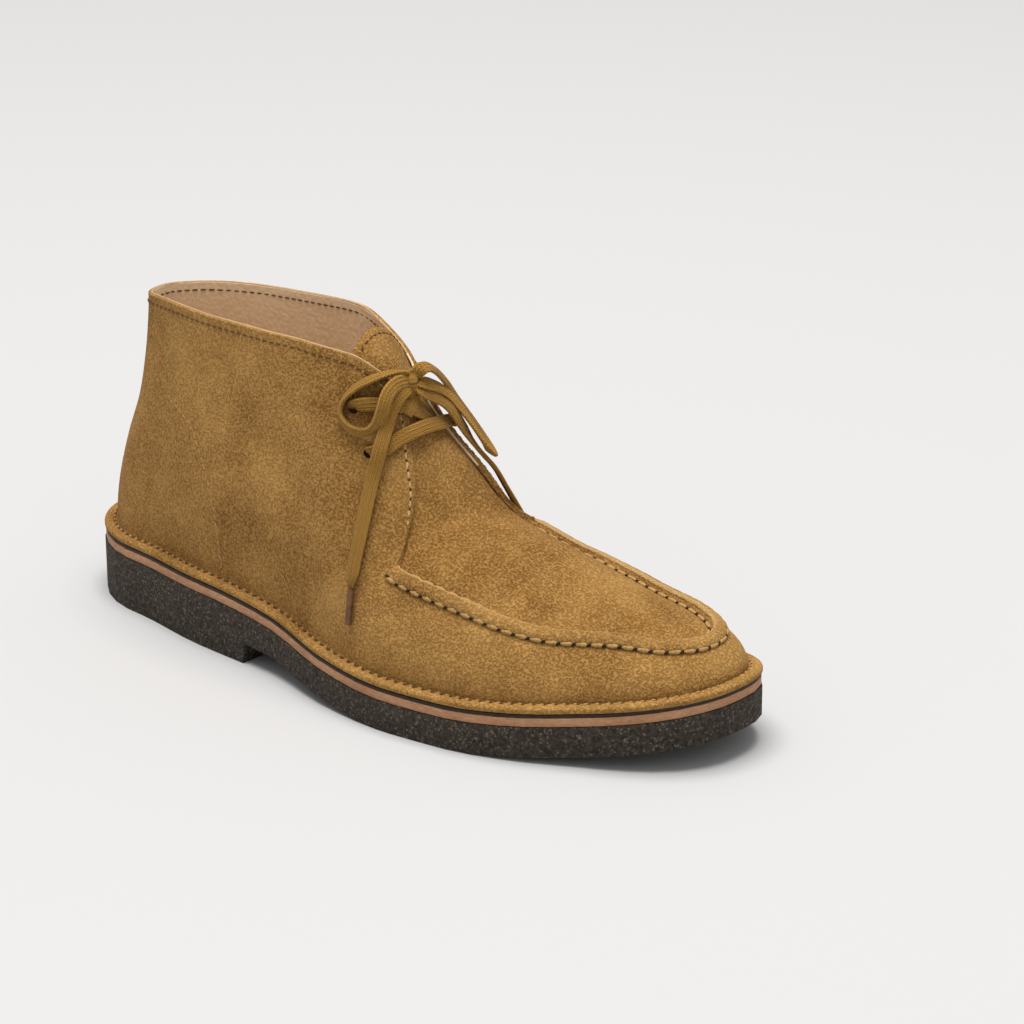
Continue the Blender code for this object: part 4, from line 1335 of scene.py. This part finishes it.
# %% Shade in the eyelets
bpy.ops.object.select_all(action="DESELECT")
for share, distance in EYELETS:
    for way, side in ((share, "outside_"), (-share, "inside_")):
        t = wall_share(way, distance)
        bpy.ops.mesh.primitive_circle_add(vertices=20, radius=EYELET_BORE * 0.54, fill_type="NGON")
        disc = bpy.context.active_object
        disc.name = "eyelet_shade_" + side + str(round(share * 1000))
        edit_all()
        bpy.ops.mesh.inset(thickness=0.0005, depth=-0.0002)
        bpy.ops.mesh.inset(thickness=0.0007, depth=-0.0003)
        bpy.ops.object.mode_set(mode="OBJECT")
        set_down(disc, wall_out(way, t), on_wall(way, t, -WALL * 0.55))
        dress(disc, eyelet_shade, "upper")
        print(disc.name)

# %% [markdown]
# Between suede and lining the upper shows the cut edge of the lining leather,
# a line about a millimetre wide. Round the opening it is bound and brownish,
# paler than the suede, and that paleness is partly a painted highlight on the
# collar's rim. Down the facing that looks at the camera it is pale.


# %% Pale edge of the lining
def edge_section(i):
    turns = [2.0 * math.pi * k / 8 for k in range(8)]
    return [(0.00045 * math.cos(turn), 0.00045 * math.sin(turn)) for turn in turns]


for name, ways, material in (
    ("collar_edge", ways_between(0.548, -0.470, 640), leathers["collar_binding_and_highlight"]),
    ("facing_edge", ways_between(-0.470, -0.560, 60), leathers["edge_binding"]),
):
    raw = [on_wall(way, 1.0, -WALL * 0.78) for way in ways]
    path = smooth_line(raw, 0.0008)
    facings = facing_along(path, raw, [wall_out(way, 1.0) for way in ways])
    dress(sweep(name, folded(path), facings, edge_section), material, "upper")
    print(name, round(length_of(path) * 1000), "mm")

# %% [markdown]
# At the foot the suede is turned out and sewn down through the midsole. That
# makes a soft roll all round the boot, pulled in by a stitch every 4 mm. It
# is swept like the seam, and its dents sit in the corner below the wall.

# %% Roll of the flange
FLANGE_PITCH = 0.0040
FLANGE_STEP = 0.00065
flange_ways = ways_between(0.0, 2.0, 900)


def foot_line(share, level, lift):
    """A line round the boot, at a share of the flange's width."""
    line = []
    for way in flange_ways:
        spot = edge_point(way) + inward(way) * FLANGE_WIDTH * share
        line.append(Vector((spot.x, spot.y, level(spot.x) + lift)) + to_frame)
    return line


flange_raw = foot_line(0.5, flange_bottom, 0.0008)
flange_path = smooth_line(flange_raw[:-1] + flange_raw[:1], FLANGE_STEP)[:-1]


def flange_section(i):
    dent = pull_at(i * FLANGE_STEP, FLANGE_PITCH, 0.0008)
    half = FLANGE_WIDTH * 0.5
    outer = half + 0.00035
    points = [(outer - 0.0005, -0.0007), (outer, -0.0001), (outer, 0.0007)]
    for k in range(1, 9):
        turn = math.pi / 2.0 * k / 8.0
        points.append((outer - 0.0016 * (1.0 - math.cos(turn)), 0.0007 + 0.0011 * math.sin(turn)))
    points.append((0.0, 0.0019 - 0.00015 * dent))
    points.append((-half * 0.45, 0.0019 - 0.0009 * dent))
    points.append((-half * 0.9, 0.0014 - 0.0009 * dent))
    points.append((-half * 1.2, 0.0009))
    points.append((-half * 1.2, -0.0006))
    return points


flange_roll = sweep("flange_roll", flange_path, [UP] * len(flange_path), flange_section, closed=True)
dress(flange_roll, tan_suede, "upper")
crease_path = smooth_line(foot_line(0.80, flange_top, 0.0004), 0.0008)
# The stitches at phase 1.0 take the dark thread with painted shade; the loops between them are tan.
for name, size, material, phase in (
    ("flange_stitches", (0.0012, 0.0005, 0.0005), sunk_thread_painted_shade, 1.0),
    ("flange_loops", (0.0008, 0.0004, 0.0005), tan_thread, 0.5),
):
    sew(name, crease_path, [UP] * len(crease_path), FLANGE_PITCH, size, material, phase)
print("flange:", round(length_of(flange_path) * 1000), "mm round")

# %% [markdown]
# Crepe rubber is pressed from crumbs, so its face is coarse and dull, with
# paler crumbs among dark ones. The midsole is a board of leather, cut at its
# edge, where the fibres show as fine level streaks. The thin layer between it
# and the suede is coloured near black: partly its own dark brown, partly
# painted shade under the flange's overhang. Each layer is a copy of its
# solid with a narrow round along its edges.


# %% Materials of the sole
def crepe_material():
    material, tree = start_material("crepe_rubber", 0.85, 0.3)
    space = object_coordinates(tree)
    crumbs = add_node(tree, "TexVoronoi", Vector=space, Scale=1500.0)
    lump = remap(tree, crumbs.outputs["Distance"], 0.0, 0.8, 1.0, 0.0)
    coarse = add_noise(tree, space, 650.0, 4.0, 0.14, 0.7)
    split = add_node(tree, "SeparateColor", Color=crumbs.outputs["Color"])
    pale = remap(tree, split.outputs["Red"], 0.84, 1.0)
    base = mix_colors(tree, coarse, (0.020, 0.015, 0.011), (0.078, 0.060, 0.043))
    color = mix_colors(tree, pale, base, (0.190, 0.150, 0.110))
    return finish_material(material, color, weigh(tree, (lump, 0.5), (coarse, 0.8)), 0.0007)


def board_material(name, light, dark):
    material, tree = start_material(name, 0.6, 0.3)
    space = object_coordinates(tree)
    flat = add_node(tree, "Mapping", Vector=space, Scale=(1.0, 1.0, 3.0))
    streaks = add_noise(tree, flat.outputs["Vector"], 420.0, 4.0, 0.16, 0.7)
    tone = weigh(tree, (streaks, 0.6), (add_noise(tree, space, 60.0, 3.0), 0.4))
    return finish_material(material, mix_colors(tree, tone, dark, light), streaks, 0.00025)


for node, name, material in (
    ("outsole", "crepe_sole", crepe_material()),
    ("midsole", "leather_board", board_material("cut_leather", (0.620, 0.340, 0.185), (0.340, 0.155, 0.070))),
    # The dark layer's near black is partly its own dark brown and partly painted shade under the flange's
    # overhang.
    ("welt_layer", "dark_strip", board_material("dark_layer", (0.050, 0.033, 0.022), (0.018, 0.011, 0.008))),
):
    layer_piece = crisp_copy(node, name, 0.0004)
    dress(layer_piece, material, node, node)
    print(name, len(layer_piece.data.polygons), "faces")
for slot in nodes["insole"].material_slots:
    slot.link = "OBJECT"
    slot.material = leathers["insole_leather"]
